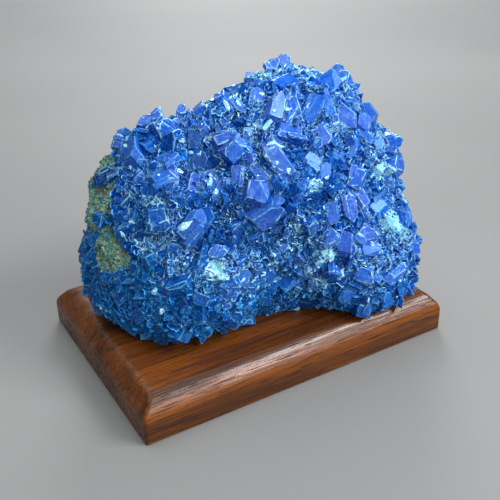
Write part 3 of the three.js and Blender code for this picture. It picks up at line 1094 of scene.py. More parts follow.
@dataclass(frozen=True)
class CrystalFinish:
    """See-through blue crystal, painted shade on its low left flank, pale edges partly worn, partly a painted
    highlight.
    """

    name: str
    deep: Color = (0.001, 0.035, 0.27)
    middle: Color = (0.007, 0.13, 0.72)
    bright: Color = (0.06, 0.16, 0.78)
    # shade: the painted shade on the low left flank; edge: pale edges, partly a painted highlight;
    # shade_edge: edges in that painted shade and where they are faint.
    shade: Color = (0.001, 0.095, 0.34)
    edge: Color = (0.48, 0.9, 1.0)
    shade_edge: Color = (0.04, 0.45, 0.82)
    white: Color = (0.45, 0.9, 1.0)
    edge_width: float = 0.1
    edge_share: float = 1.0
    crackle: float = 0.2
    gloss: float = 0.18
    specular: float = 0.2
    transmission: float = 0.45
    absorption: float = 60.0
    absorption_color: Color = (0.12, 0.3, 0.92)
    relief: Row = (0.25, 0.00012)

    def material(self, group: bpy.types.NodeTree) -> bpy.types.Material:
        """Builds the material.

        Args:
            group: the shared group that colours crystals.

        Returns:
            The material.
        """
        made, nodes, shader = new_material(self.name)
        colour = nodes.add("ShaderNodeGroup", node_tree=group)
        nodes.fill(colour, {
            "Tone": nodes.attribute("tone"), "Rim": nodes.attribute("rim"),
            "Frost": nodes.attribute("frost"), "Local": nodes.attribute("local", "Vector"),
            "Deep": self.deep, "Middle": self.middle, "Bright": self.bright, "Shade": self.shade,
            "Edge": self.edge, "Shade Edge": self.shade_edge, "White": self.white,
            "Edge Width": self.edge_width, "Edge Share": self.edge_share,
            "Crackle": self.crackle, "Gloss": self.gloss})
        nodes.fill(shader, {
            "Base Color": colour.outputs["Color"], "Roughness": colour.outputs["Roughness"],
            "Normal": nodes.bump(colour.outputs["Height"], *self.relief),
            "Transmission Weight": self.transmission, "IOR": REFRACTION,
            "Specular IOR Level": self.specular, "Specular Tint": GLINT})
        inside = nodes.add("ShaderNodeVolumeAbsorption",
                           {"Color": self.absorption_color, "Density": self.absorption})
        nodes.fill(nodes.tree.nodes["Material Output"], {"Volume": inside.outputs[0]})
        return made


@dataclass(frozen=True)
class MassFinish:
    """The dark drusy ground between the crystals: cells with thin pale walls."""

    ground: Color = (0.001, 0.034, 0.27)
    tint: Color = (0.002, 0.13, 0.54)
    wall: Color = (0.5, 0.86, 1.0)
    bend: Row = (600.0, 1.0, 0.0012)
    cells: float = 520.0
    wall_step: Row = (0.0, 0.09, 1.0, 0.0)
    wall_share: float = 0.8
    patch_noise: Row = (160.0, 2.0)
    patch_step: Row = (0.45, 0.6)
    crumb_noise: Row = (1100.0, 3.0)
    crumb_share: float = 2.4
    frost_step: Row = (0.45, 0.65)
    relief: Row = (0.8, 0.0006)
    roughness: float = 0.3
    specular: float = 0.05

    def material(self) -> bpy.types.Material:
        """Builds the material.

        Returns:
            The material.
        """
        made, nodes, shader = new_material("drusy mass")
        place = nodes.place()
        bent = nodes.bend(place, *self.bend)
        cells = nodes.cells(bent, self.cells)
        shades = nodes.add("ShaderNodeTexVoronoi", {"Vector": bent, "Scale": self.cells}).outputs["Color"]
        shade = nodes.add("ShaderNodeSeparateXYZ", {0: shades}).outputs[0]
        patchy = nodes.ramp(nodes.noise(place, *self.patch_noise), *self.patch_step)
        wall = nodes.math("MULTIPLY", nodes.ramp(cells, *self.wall_step), patchy)
        colour = nodes.blend(shade, self.ground, self.tint)
        colour = nodes.blend(nodes.scaled(wall, self.wall_share), colour, self.wall)
        crumb = nodes.centred(nodes.noise(place, *self.crumb_noise), self.crumb_share)
        dusted = nodes.math("ADD", nodes.attribute("frost"), crumb)
        nodes.fill(shader, {
            "Base Color": nodes.blend(nodes.ramp(dusted, *self.frost_step), colour, self.wall),
            "Roughness": self.roughness, "Specular IOR Level": self.specular, "Specular Tint": GLINT,
            "Normal": nodes.bump(cells, *self.relief)})
        return made


@dataclass(frozen=True)
class WallFinish:
    """The thin pale blades that stand in a net over the drusy ground, with painted shade on their tips low on
    the left.
    """

    foot: Color = (0.002, 0.1, 0.48)
    tip: Color = (0.5, 0.92, 1.0)
    # shade: tip colour of the painted shade on the low left flank, and also of dull blades.
    shade: Color = (0.06, 0.46, 0.86)
    powder: Color = (0.55, 0.97, 1.0)
    painted_shade_step: Row = (0.1, 0.7, 1.0, 0.0)
    dull_step: Row = (0.15, 0.55, 0.85, 0.0)
    powder_step: Row = (0.1, 0.4)
    lit_step: Row = (0.1, 0.6, 0.6, 1.0)
    tip_step: Row = (0.7, 0.9)
    grain_noise: Row = (2600.0, 2.0)
    relief: Row = (0.4, 0.0001)
    roughness: float = 0.3
    specular: float = 0.06
    transmission: float = 0.1

    def material(self) -> bpy.types.Material:
        """Builds the material.

        Returns:
            The material.
        """
        made, nodes, shader = new_material("druse blades")
        place = nodes.place()
        tone = nodes.attribute("tone")
        frost = nodes.attribute("frost")
        # Painted shade: the tips turn to the shade colour on the low left flank.
        flank = nodes.ramp(nodes.height_over(place, PAINTED_SHADE_SLOPE), *self.painted_shade_step)
        tip = nodes.blend(flank, self.tip, self.shade)
        tip = nodes.blend(nodes.ramp(tone, *self.dull_step), tip, self.shade)
        tip = nodes.blend(nodes.ramp(frost, *self.powder_step), tip, self.powder)
        lit = nodes.math("ADD", nodes.ramp(tone, *self.lit_step), frost)
        share = nodes.math("MULTIPLY", nodes.ramp(nodes.attribute("rim"), *self.tip_step),
                           nodes.math("MINIMUM", lit, 1.0))
        nodes.fill(shader, {
            "Base Color": nodes.blend(share, self.foot, tip), "Roughness": self.roughness,
            "Specular IOR Level": self.specular, "Specular Tint": GLINT,
            "Normal": nodes.bump(nodes.noise(place, *self.grain_noise), *self.relief),
            "Transmission Weight": self.transmission, "IOR": REFRACTION})
        return made


@dataclass(frozen=True)
class RockFinish:
    """Greenish tan host rock, granular, with dark grains and blue-green stain."""

    dark: Color = (0.018, 0.024, 0.014)
    green: Color = (0.1, 0.23, 0.17)
    tan: Color = (0.31, 0.4, 0.26)
    pale: Color = (0.5, 0.6, 0.44)
    stain: Color = (0.02, 0.24, 0.33)
    rust: Color = (0.11, 0.07, 0.045)
    speckle_noise: Row = (1300.0, 3.0, 0.7)
    speckle_share: float = 1.1
    green_step: Row = (0.1, 0.3)
    tan_step: Row = (0.35, 0.6)
    pale_step: Row = (0.8, 0.95)
    stain_noise: Row = (240.0, 3.0, 0.6, 1.5)
    stain_step: Row = (0.5, 0.62, 0.0, 0.7)
    rust_noise: Row = (140.0, 2.0)
    rust_step: Row = (0.62, 0.7, 0.0, 0.6)
    relief: Row = (0.9, 0.0004)
    roughness: float = 0.85

    def material(self) -> bpy.types.Material:
        """Builds the material.

        Returns:
            The material.
        """
        made, nodes, shader = new_material("host rock")
        place = nodes.place()
        speckle = nodes.noise(place, *self.speckle_noise)
        tone = nodes.math("ADD", nodes.attribute("tone"), nodes.centred(speckle, self.speckle_share))
        colour = nodes.blend(nodes.ramp(tone, *self.green_step), self.dark, self.green)
        colour = nodes.blend(nodes.ramp(tone, *self.tan_step), colour, self.tan)
        colour = nodes.blend(nodes.ramp(tone, *self.pale_step), colour, self.pale)
        stain = nodes.ramp(nodes.noise(place, *self.stain_noise), *self.stain_step)
        colour = nodes.blend(stain, colour, self.stain)
        rust = nodes.ramp(nodes.noise(place, *self.rust_noise), *self.rust_step)
        nodes.fill(shader, {"Base Color": nodes.blend(rust, colour, self.rust),
                            "Roughness": self.roughness, "Normal": nodes.bump(speckle, *self.relief)})
        return made


@dataclass(frozen=True)
class FrostFinish:
    """Pale grainy crust on the crystals."""

    white: Color = (0.66, 0.9, 0.96)
    blue: Color = (0.12, 0.45, 0.8)
    grain_noise: Row = (1700.0, 3.0, 0.65)
    white_step: Row = (0.42, 0.6)
    relief: Row = (0.7, 0.0003)
    roughness: float = 0.6

    def material(self) -> bpy.types.Material:
        """Builds the material.

        Returns:
            The material.
        """
        made, nodes, shader = new_material("pale frost")
        grain = nodes.noise(nodes.place(), *self.grain_noise)
        nodes.fill(shader, {
            "Base Color": nodes.blend(nodes.ramp(grain, *self.white_step), self.blue, self.white),
            "Roughness": self.roughness, "Normal": nodes.bump(grain, *self.relief)})
        return made


@dataclass(frozen=True)
class WalnutFinish:
    """Oiled walnut with straight grain along the block, fine fibres and open pores."""

    dark: Color = (0.042, 0.011, 0.0015)
    warm: Color = (0.105, 0.027, 0.001)
    light: Color = (0.2, 0.055, 0.005)
    pore: Color = (0.012, 0.004, 0.002)
    lean: float = 0.05
    stretch: float = 0.035
    figure_noise: Row = (110.0, 4.0, 0.55, 0.6)
    fibre_noise: Row = (900.0, 4.0, 0.7)
    streak_noise: Row = (620.0, 3.0, 0.6)
    streak_step: Row = (0.5, 0.62, 0.0, 0.6)
    pore_noise: Row = (2400.0, 2.0, 0.6)
    pore_step: Row = (0.56, 0.64)
    pore_share: float = 0.8
    warm_step: Row = (0.3, 0.55)
    fibre_share: float = 0.9
    light_step: Row = (0.75, 1.25)
    fibre_height: float = 0.5
    relief: Row = (0.6, 0.00012)
    smooth_roughness: float = 0.26
    pore_roughness: float = 0.45
    coat: float = 0.1
    coat_roughness: float = 0.3
    specular: float = 0.28

    def material(self) -> bpy.types.Material:
        """Builds the material.

        Returns:
            The material.
        """
        made, nodes, shader = new_material("oiled walnut")
        along = nodes.add("ShaderNodeMapping", {"Vector": nodes.place(), "Rotation": (0.0, 0.0, self.lean),
                          "Scale": (self.stretch, 1.0, 1.0)}).outputs[0]
        figure = nodes.noise(along, *self.figure_noise)
        fibre = nodes.noise(along, *self.fibre_noise)
        streak = nodes.ramp(nodes.noise(along, *self.streak_noise), *self.streak_step)
        pore = nodes.ramp(nodes.noise(along, *self.pore_noise), *self.pore_step)
        open_grain = nodes.math("MAXIMUM", pore, streak)
        colour = nodes.blend(nodes.ramp(figure, *self.warm_step), self.dark, self.warm)
        lightness = nodes.math("ADD", figure, nodes.scaled(fibre, self.fibre_share))
        colour = nodes.blend(nodes.ramp(lightness, *self.light_step), colour, self.light)
        height = nodes.math("SUBTRACT", nodes.scaled(fibre, self.fibre_height), open_grain)
        nodes.fill(shader, {
            "Base Color": nodes.blend(nodes.scaled(open_grain, self.pore_share), colour, self.pore),
            "Roughness": nodes.math("ADD", self.smooth_roughness,
                                    nodes.scaled(open_grain, self.pore_roughness)),
            "Normal": nodes.bump(height, *self.relief), "Coat Weight": self.coat,
            "Coat Roughness": self.coat_roughness, "Specular IOR Level": self.specular})
        return made


# ---------------------------------------------------------------- geometry trees


DENSEST = 4e6
CRYSTAL_TONES: Row = (0.0, 0.75)
BLADE_TONES: Row = (0.0, 1.0)
BLADE_WANDER = 0.35
BLADE_HEIGHTS: Row = (0.5, 1.3)
BLADE_THICKNESSES: Row = (0.6, 1.5)
KIND_PATTERN = 4


class Reseed(IntEnum):
    """What is added to a tree's seed for its further random values."""

    SIZE = 1
    TONE = 2
    THICKNESS = 3


def plant(nodes: Nodes, ends: tuple[bpy.types.Node, bpy.types.Node], shapes: str, tones: Row,
          placing: dict[str, object]) -> bpy.types.NodeTree:
    """Ends a tree: picks a shape for each point, gives it a tone, makes it real and dresses it.

    Args:
        nodes: the tree's nodes.
        ends: the node that holds the tree's inputs and the one that takes its output.
        shapes: the name of the input that holds the shapes.
        tones: the darkest and the brightest tone.
        placing: the points, and each shape's rotation and scale.

    Returns:
        The finished tree.
    """
    given, result = ends
    source = given.outputs
    kinds = nodes.add("GeometryNodeCollectionInfo", {"Collection": source[shapes],
                      "Separate Children": True, "Reset Children": True})
    pick = nodes.random("INT", 0, source["Kinds"], source["Seed"])
    placed = nodes.add("GeometryNodeInstanceOnPoints", {**placing, "Instance": kinds.outputs[0],
                       "Pick Instance": True, "Instance Index": pick})
    tone = nodes.random("FLOAT", *tones, nodes.math("ADD", source["Seed"], Reseed.TONE))
    toned = nodes.keep(placed.outputs[0], "tone", tone, "INSTANCE")
    real = nodes.add("GeometryNodeRealizeInstances", {"Geometry": toned}).outputs[0]
    dressed = nodes.add("GeometryNodeSetMaterial", {"Geometry": real, "Material": source["Finish"]})
    nodes.feed(result.inputs[0], dressed.outputs[0])
    return nodes.tree


def growth_tree() -> bpy.types.NodeTree:
    """Builds the tree that grows small crystals on a surface where its `room` attribute allows.

    Returns:
        The tree.
    """
    nodes, *ends = new_group(
        "grow crystals", "GeometryNodeTree",
        [("Surface", "Geometry"), ("Crystals", "Collection"), ("Spacing", "Float"), ("Shortest", "Float"),
         ("Longest", "Float"), ("Lean", "Float"), ("Kinds", "Int"), ("Seed", "Int"), ("Finish", "Material")],
        [("Crystals", "Geometry")])
    source = ends[0].outputs
    points = nodes.add("GeometryNodeDistributePointsOnFaces", {
        "Mesh": source["Surface"], "Distance Min": source["Spacing"], "Density Max": DENSEST,
        "Density Factor": nodes.named("room"), "Seed": source["Seed"]}, distribute_method="POISSON").outputs
    lean = source["Lean"]
    tilt = nodes.random("FLOAT_VECTOR", (-1.0, -1.0, -1.0), (1.0, 1.0, 1.0), source["Seed"])
    swing = nodes.rotation(nodes.vector("MULTIPLY", tilt, nodes.row(X=lean, Y=lean, Z=math.pi)))
    spin = nodes.rotation(nodes.row(Z=nodes.random("FLOAT", 0.0, math.tau, source["Seed"])))
    size = nodes.random("FLOAT", source["Shortest"], source["Longest"],
                        nodes.math("ADD", source["Seed"], Reseed.SIZE))
    return plant(nodes, ends, "Crystals", CRYSTAL_TONES, {
        "Points": points["Points"], "Scale": size,
        "Rotation": nodes.turned(nodes.turned(points["Rotation"], spin), swing)})


def net_tree() -> bpy.types.NodeTree:
    """Builds the tree that stands a thin blade on each edge of a surface's cells, where `weave` allows.

    Returns:
        The tree.
    """
    nodes, *ends = new_group(
        "stand blades", "GeometryNodeTree",
        [("Surface", "Geometry"), ("Blades", "Collection"), ("Thickness", "Float"), ("Height", "Float"),
         ("Overlap", "Float"), ("Kinds", "Int"), ("Seed", "Int"), ("Finish", "Material")],
        [("Blades", "Geometry")])
    source = ends[0].outputs
    cells = nodes.add("GeometryNodeDualMesh", {"Mesh": source["Surface"]}).outputs[0]
    tips = nodes.add("GeometryNodeInputMeshEdgeVertices").outputs
    edge = nodes.vector("SUBTRACT", tips["Position 2"], tips["Position 1"])
    normal = nodes.add("GeometryNodeInputNormal").outputs[0]
    kept = nodes.keep(cells, "edge", edge, "EDGE", "FLOAT_VECTOR")
    kept = nodes.keep(kept, "out", normal, "EDGE", "FLOAT_VECTOR")
    chosen = nodes.math("LESS_THAN", nodes.random("FLOAT", 0.0, 1.0, source["Seed"]), nodes.named("weave"))
    points = nodes.add("GeometryNodeMeshToPoints", {"Mesh": kept, "Selection": chosen},
                       mode="EDGES").outputs[0]
    along = nodes.named("edge", "FLOAT_VECTOR")
    wander = nodes.random("FLOAT_VECTOR", (-BLADE_WANDER,) * 3, (BLADE_WANDER,) * 3, source["Seed"])
    upright = nodes.vector("ADD", nodes.named("out", "FLOAT_VECTOR"), wander)
    turn = nodes.add("FunctionNodeAxesToRotation", {"Primary Axis": along, "Secondary Axis": upright},
                     primary_axis="X", secondary_axis="Z").outputs[0]
    length = nodes.add("ShaderNodeVectorMath", {0: along}, operation="LENGTH").outputs["Value"]
    thickness = nodes.random("FLOAT", *BLADE_THICKNESSES, nodes.math("ADD", source["Seed"], Reseed.THICKNESS))
    height = nodes.random("FLOAT", *BLADE_HEIGHTS, source["Seed"])
    size = nodes.row(X=nodes.math("MULTIPLY", length, source["Overlap"]),
                     Y=nodes.math("MULTIPLY", source["Thickness"], thickness),
                     Z=nodes.math("MULTIPLY", source["Height"], height))
    return plant(nodes, ends, "Blades", BLADE_TONES, {"Points": points, "Rotation": turn, "Scale": size})


def grow(name: str, surface: bpy.types.Mesh, tree: bpy.types.NodeTree,
         values: dict[str, object]) -> bpy.types.Object:
    """Runs a geometry tree over a surface and keeps the result as a plain piece.

    Args:
        name: the piece's name.
        surface: the mesh that the tree starts from.
        tree: the geometry tree.
        values: the tree's inputs by name.

    Returns:
        The piece.
    """
    made = link(name, surface)
    modifier = made.modifiers.new("grow", "NODES")
    modifier.node_group = tree
    sockets = {item.name: item.identifier for item in tree.interface.items_tree if item.in_out == "INPUT"}
    for label, value in values.items():
        modifier[sockets[label]] = value
    made.data = evaluated(made)
    return made


@dataclass(frozen=True)
class CrystalKind:
    """A small crystal shape, one unit long: an outline in half sizes, and how its top slopes."""

    outline: Rows
    width: float
    depth: float
    height: float
    slope_x: float
    slope_y: float
    taper: float

    def rings(self, root: float) -> tuple[list[Row], list[Row]]:
        """Returns the corners of its root, which is sunk by `root`, and those of its top."""
        width, depth, taper = self.width, self.depth, self.taper
        low = [(x * width, y * depth, -root) for x, y in self.outline]
        high = [(x * width * taper, y * depth * taper,
                 self.height + x * width * self.slope_x + y * depth * self.slope_y)
                for x, y in self.outline]
        return low, high


@dataclass(frozen=True)
class CrystalKinds:
    """The few small crystal shapes that are grown many times, standing on their roots."""

    kinds: tuple[CrystalKind, ...] = (
        CrystalKind(((-1, -0.4), (-0.6, -1), (1, -0.7), (1, 0.5), (0.5, 1), (-1, 0.8)),
                    0.5, 0.22, 0.65, 0.5, 0.2, 0.85),
        CrystalKind(((-1, -1), (1, -0.8), (0.9, 1), (-1, 0.9)),
                    0.58, 0.42, 0.25, -0.2, 0.15, 0.85),
        CrystalKind(((-1, -0.6), (0.2, -1), (1, 0), (0.3, 1), (-1, 0.7)),
                    0.42, 0.34, 0.6, 0.4, -0.7, 0.75),
        CrystalKind(((-1, -0.5), (-0.3, -1), (1, -0.8), (1, 0.6), (0.2, 1), (-1, 0.9)),
                    0.55, 0.45, 0.2, 0.1, -0.2, 0.8),
        CrystalKind(((-1, -0.5), (-0.4, -1), (1, -1), (1, 1), (-0.8, 1)),
                    0.5, 0.4, 0.35, 0.4, 0.3, 0.7),
    )
    root: float = 0.35

    def collection(self, name: str) -> bpy.types.Collection:
        """Returns a collection that holds one object for each kind."""
        held = bpy.data.collections.new(name)
        for number, kind in enumerate(self.kinds):
            held.objects.link(kind_object(f"{name}_{number}", *kind.rings(self.root)))
        return held


def kind_object(name: str, low: Sequence[Row], high: Sequence[Row]) -> bpy.types.Object:
    """Makes a source crystal of unit size, with its edge distance as a share of its faces' reach.

    Args:
        name: the object's name.
        low: corners of its root.
        high: corners of its top.

    Returns:
        The object, in no scene.
    """
    shape = bmesh.new()
    foot = [shape.verts.new(corner) for corner in low]
    head = [shape.verts.new(corner) for corner in high]
    shape.faces.new(foot[::-1])
    shown = [shape.faces.new(head)]
    for i, corner in enumerate(foot):
        j = (i + 1) % len(foot)
        shown.append(shape.faces.new((corner, foot[j], head[j], head[i])))
    rim = fan_faces(shape, shown) * MM
    mesh = mesh_from(shape, name)
    store(mesh, "rim", rim)
    store(mesh, "local", points_of(mesh) * MM * KIND_PATTERN)
    return bpy.data.objects.new(name, mesh)


@dataclass(frozen=True)
class BladeKinds:
    """Thin bent blades with a ridge, one unit long, thick and high, as bends and heights of the ridge
    along their length."""

    bends: Rows = (
        (0, 1.2, 1.3, 0.2, 0), (0, -0.9, 0.3, 1.1, 0), (0, 0.4, -1, -1.1, 0), (0, 1.5, 2.1, 1.3, 0),
    )
    heights: Rows = (
        (0.7, 1, 0.9, 1.1, 0.8), (0.9, 0.8, 1.1, 0.9, 0.7), (0.8, 1, 0.8, 1.1, 0.6), (0.6, 0.9, 1.1, 1, 0.8),
    )
    root: float = 0.6

    def collection(self, name: str) -> bpy.types.Collection:
        """Builds the blades.

        Args:
            name: the collection's name.

        Returns:
            A collection that holds one object for each blade.
        """
        held = bpy.data.collections.new(name)
        for number, (bends, heights) in enumerate(zip(self.bends, self.heights)):
            points, faces = [], []
            for i, (bend, height) in enumerate(zip(bends, heights)):
                x = i / (len(bends) - 1) - 0.5
                points += [(x, bend - 0.5, -self.root), (x, bend + 0.5, -self.root), (x, bend, height)]
            for i in range(len(bends) - 1):
                for k in range(3):
                    n = (k + 1) % 3
                    faces.append((3 * i + k, 3 * i + 3 + k, 3 * i + 3 + n, 3 * i + n))
            last = 3 * (len(bends) - 1)
            faces += [(0, 1, 2), (last + 2, last + 1, last)]
            mesh = mesh_of(f"{name}_{number}", np.array(points) / MM, faces)
            store(mesh, "rim", np.array([0.0, 0.0, 1.0] * len(bends)))
            held.objects.link(bpy.data.objects.new(mesh.name, mesh))
        return held


FINE_BLADES = BladeKinds(bends=((0, 0.8, 0), (0, -0.7, 0.2), (0, 1.1, 0.4)),
                         heights=((0.8, 1.1, 0.8), (0.9, 0.9, 0.8), (0.7, 1.1, 0.9)))


# ---------------------------------------------------------------- the sub-assemblies


@dataclass(frozen=True)
class Growth:
    """How one piece of small crystals grows over the mass, with its lean in radians.

    The margin is what it keeps from the large crystals. The net share is how much of it the net of blades
    crowds out, and the foot share how much of it grows at the foot.
    """

    name: str
    spacing: float
    shortest: float
    longest: float
    lean: float
    margin: float
    net_share: float
    foot_share: float
    seed: int


@dataclass(frozen=True)
class Net:
    """How one net of blades stands over the mass, on cells that are finer with more detail."""

    name: str
    blades: BladeKinds
    detail: int
    share: float
    thickness: float
    height: float
    seed: int


@dataclass(frozen=True)
class Cluster:
    """The crystal mass with everything that grew on it: its form, where the host rock lies and the large
    crystals."""

    form: MassForm
    crust: CrustPlace
    seats: Sequence[Seat]
    base_top: float = 16
    pocket: float = 2.9
    pocket_rim: Row = (-0.5, 1.5)
    mass_detail: int = 7
    mass_lumps: Rows = ((0.16, 0.9), (0.42, 0.45))
    lift: float = 0.9
    crust_border: float = 1.0
    foot_gap: float = 0.8
    bare_foot: float = 14
    net_patches: float = 0.085
    net_step: Row = (-0.2, 0.12)
    net_jitter: float = 0.3
    net_margin: float = -0.9
    least_weave: float = 0.2
    overlap: float = 1.1
    growths: tuple[Growth, ...] = (
        Growth("medium_crystals", 3.1, 2.8, 5.4, 0.8, 0.3, 0.3, 0.4, 4),
        Growth("small_crystals", 1.5, 1.2, 2.2, 0.9, -1.2, 0.9, 1.0, 9),
    )
    nets: tuple[Net, ...] = (
        Net("druse_blades", BladeKinds(), 5, 0.8, 0.34, 1.9, 3),
        Net("fine_blades", FINE_BLADES, 6, 0.55, 0.24, 1.1, 6),
    )

    def sphere(self, detail: int) -> tuple[np.ndarray, list[list[int]]]:
        """Parts a ball evenly.

        Args:
            detail: how finely; each step makes four faces out of one.

        Returns:
            The directions of its corners and its triangles.
        """
        shape = bmesh.new()
        bmesh.ops.create_icosphere(shape, subdivisions=detail, radius=1)
        ways = unit(np.array([corner.co for corner in shape.verts], float))
        faces = [[corner.index for corner in face.verts] for face in shape.faces]
        shape.free()
        return ways, faces

    def placed(self, ways: np.ndarray, stand: np.ndarray) -> np.ndarray:
        """Finds points over the mass, cut off flat on the base.

        Args:
            ways: unit directions, one row each.
            stand: the height over the form for each direction.

        Returns:
            The points.
        """
        reach = self.form.reach(ways) + stand
        floor = (self.base_top - self.form.centre[2]) / np.minimum(ways[:, 2], -TINY)
        limit = np.where(ways[:, 2] < 0, floor, np.inf)
        return ways * np.minimum(reach, limit)[:, None] + np.array(self.form.centre)

    def room(self, points: np.ndarray, margin: float) -> np.ndarray:
        """Finds where the large crystals leave room.

        Args:
            points: the points to look at.
            margin: the least distance from their faces.

        Returns:
            1 for a point that is clear of them all, and 0 for another.
        """
        free = np.ones(len(points))
        for seat in self.seats:
            covered = np.all(np.abs(seat.local(points)) < seat.sizes / 2 + margin, axis=1)
            free[covered] = 0
        return free

    def lumps(self, points: np.ndarray) -> np.ndarray:
        """Returns the height of the small lumps on the mass at each point."""
        rise = np.zeros(len(points))
        for scale, height in self.mass_lumps:
            rise += height * waves(points, scale)
        return rise

    def raised(self, points: np.ndarray) -> np.ndarray:
        """Returns 0 for a point at the base's top and 1 over the mass's foot, with a soft step between."""
        return smooth(self.base_top, self.base_top + self.bare_foot, points[:, 2])

    def netted(self, points: np.ndarray) -> np.ndarray:
        """Returns the share of the ground that the net of blades takes at each point, from 0 to 1."""
        return smooth(*self.net_step, waves(points, self.net_patches)) * self.raised(points)

    def clear_of(self, points: np.ndarray) -> np.ndarray:
        """Returns 1 for a point off the host rock and above the base, and 0 for another."""
        off = self.crust.inside(unit(points - np.array(self.form.centre))) < -self.crust_border
        return (off & (points[:, 2] > self.base_top + self.foot_gap)).astype(float)

    def mass_mesh(self) -> bpy.types.Mesh:
        """Returns the mesh of the drusy mass, with a pocket for the host rock."""
        ways, faces = self.sphere(self.mass_detail)
        sunk = self.pocket * smooth(*self.pocket_rim, self.crust.inside(ways))
        rise = self.lumps(self.form.surface(ways)) + self.lift - sunk * (1 + self.lift / self.pocket)
        return mesh_of("crystal_mass", self.placed(ways, rise), faces)

    def net_ground(self, net: Net) -> bpy.types.Mesh:
        """Builds the surface whose cells carry a net on their edges.

        Args:
            net: the net.

        Returns:
            The mesh, with the share of blades that may stand at each vertex.
        """
        ways, faces = self.sphere(net.detail)
        size = 2 / math.sqrt(len(ways))
        shake = np.random.default_rng(net.detail).uniform(-1, 1, ways.shape) * size * self.net_jitter
        ways = unit(ways + shake)
        points = self.placed(ways, self.lumps(self.form.surface(ways)) + self.lift)
        mesh = mesh_of(net.name, points, faces)
        weave = net.share * between(self.least_weave, 1.0, self.netted(points)) * self.raised(points)
        free = self.clear_of(points) * self.room(points, self.net_margin)
        store(mesh, "weave", weave * free)
        store(mesh, "frost", Powder().amount(ways))
        return mesh

    def grown(self, mesh: bpy.types.Mesh,
              finishes: dict[str, bpy.types.Material]) -> list[bpy.types.Object]:
        """Grows the small crystals on the mass.

        Args:
            mesh: the mass's mesh.
            finishes: the materials by piece.

        Returns:
            A piece for each growth.
        """
        points = points_of(mesh)
        clear = self.clear_of(points)
        netted = self.netted(points)
        kinds = CrystalKinds().collection("kind")
        tree = growth_tree()
        pieces = []
        for growth in self.growths:
            ground = mesh.copy()
            room = self.room(points, growth.margin) * (1 - growth.net_share * netted)
            room = room * between(growth.foot_share, 1.0, self.raised(points))
            store(ground, "room", clear * room)
            pieces.append(grow(growth.name, ground, tree, {
                "Crystals": kinds, "Spacing": growth.spacing * MM, "Shortest": growth.shortest * MM,
                "Longest": growth.longest * MM, "Lean": growth.lean, "Kinds": len(kinds.objects) - 1,
                "Seed": growth.seed, "Finish": finishes[growth.name]}))
        return pieces

    def build(self, finishes: dict[str, bpy.types.Material]) -> list[bpy.types.Object]:
        """Builds the mass, its small crystals and its nets of blades.

        Args:
            finishes: the materials by piece.

        Returns:
            The pieces.
        """
        mesh = self.mass_mesh()
        store(mesh, "frost", Powder().amount(unit(points_of(mesh) - np.array(self.form.centre))))
        pieces = self.grown(mesh, finishes)
        tree = net_tree()
        for net in self.nets:
            kinds = net.blades.collection(net.name)
            pieces.append(grow(net.name, self.net_ground(net), tree, {
                "Blades": kinds, "Thickness": net.thickness * MM, "Height": net.height * MM,
                "Overlap": self.overlap, "Kinds": len(kinds.objects) - 1, "Seed": net.seed,
                "Finish": finishes["druse_blades"]}))
        mesh.materials.append(finishes["crystal_mass"])
        return [*pieces, link("crystal_mass", mesh)]


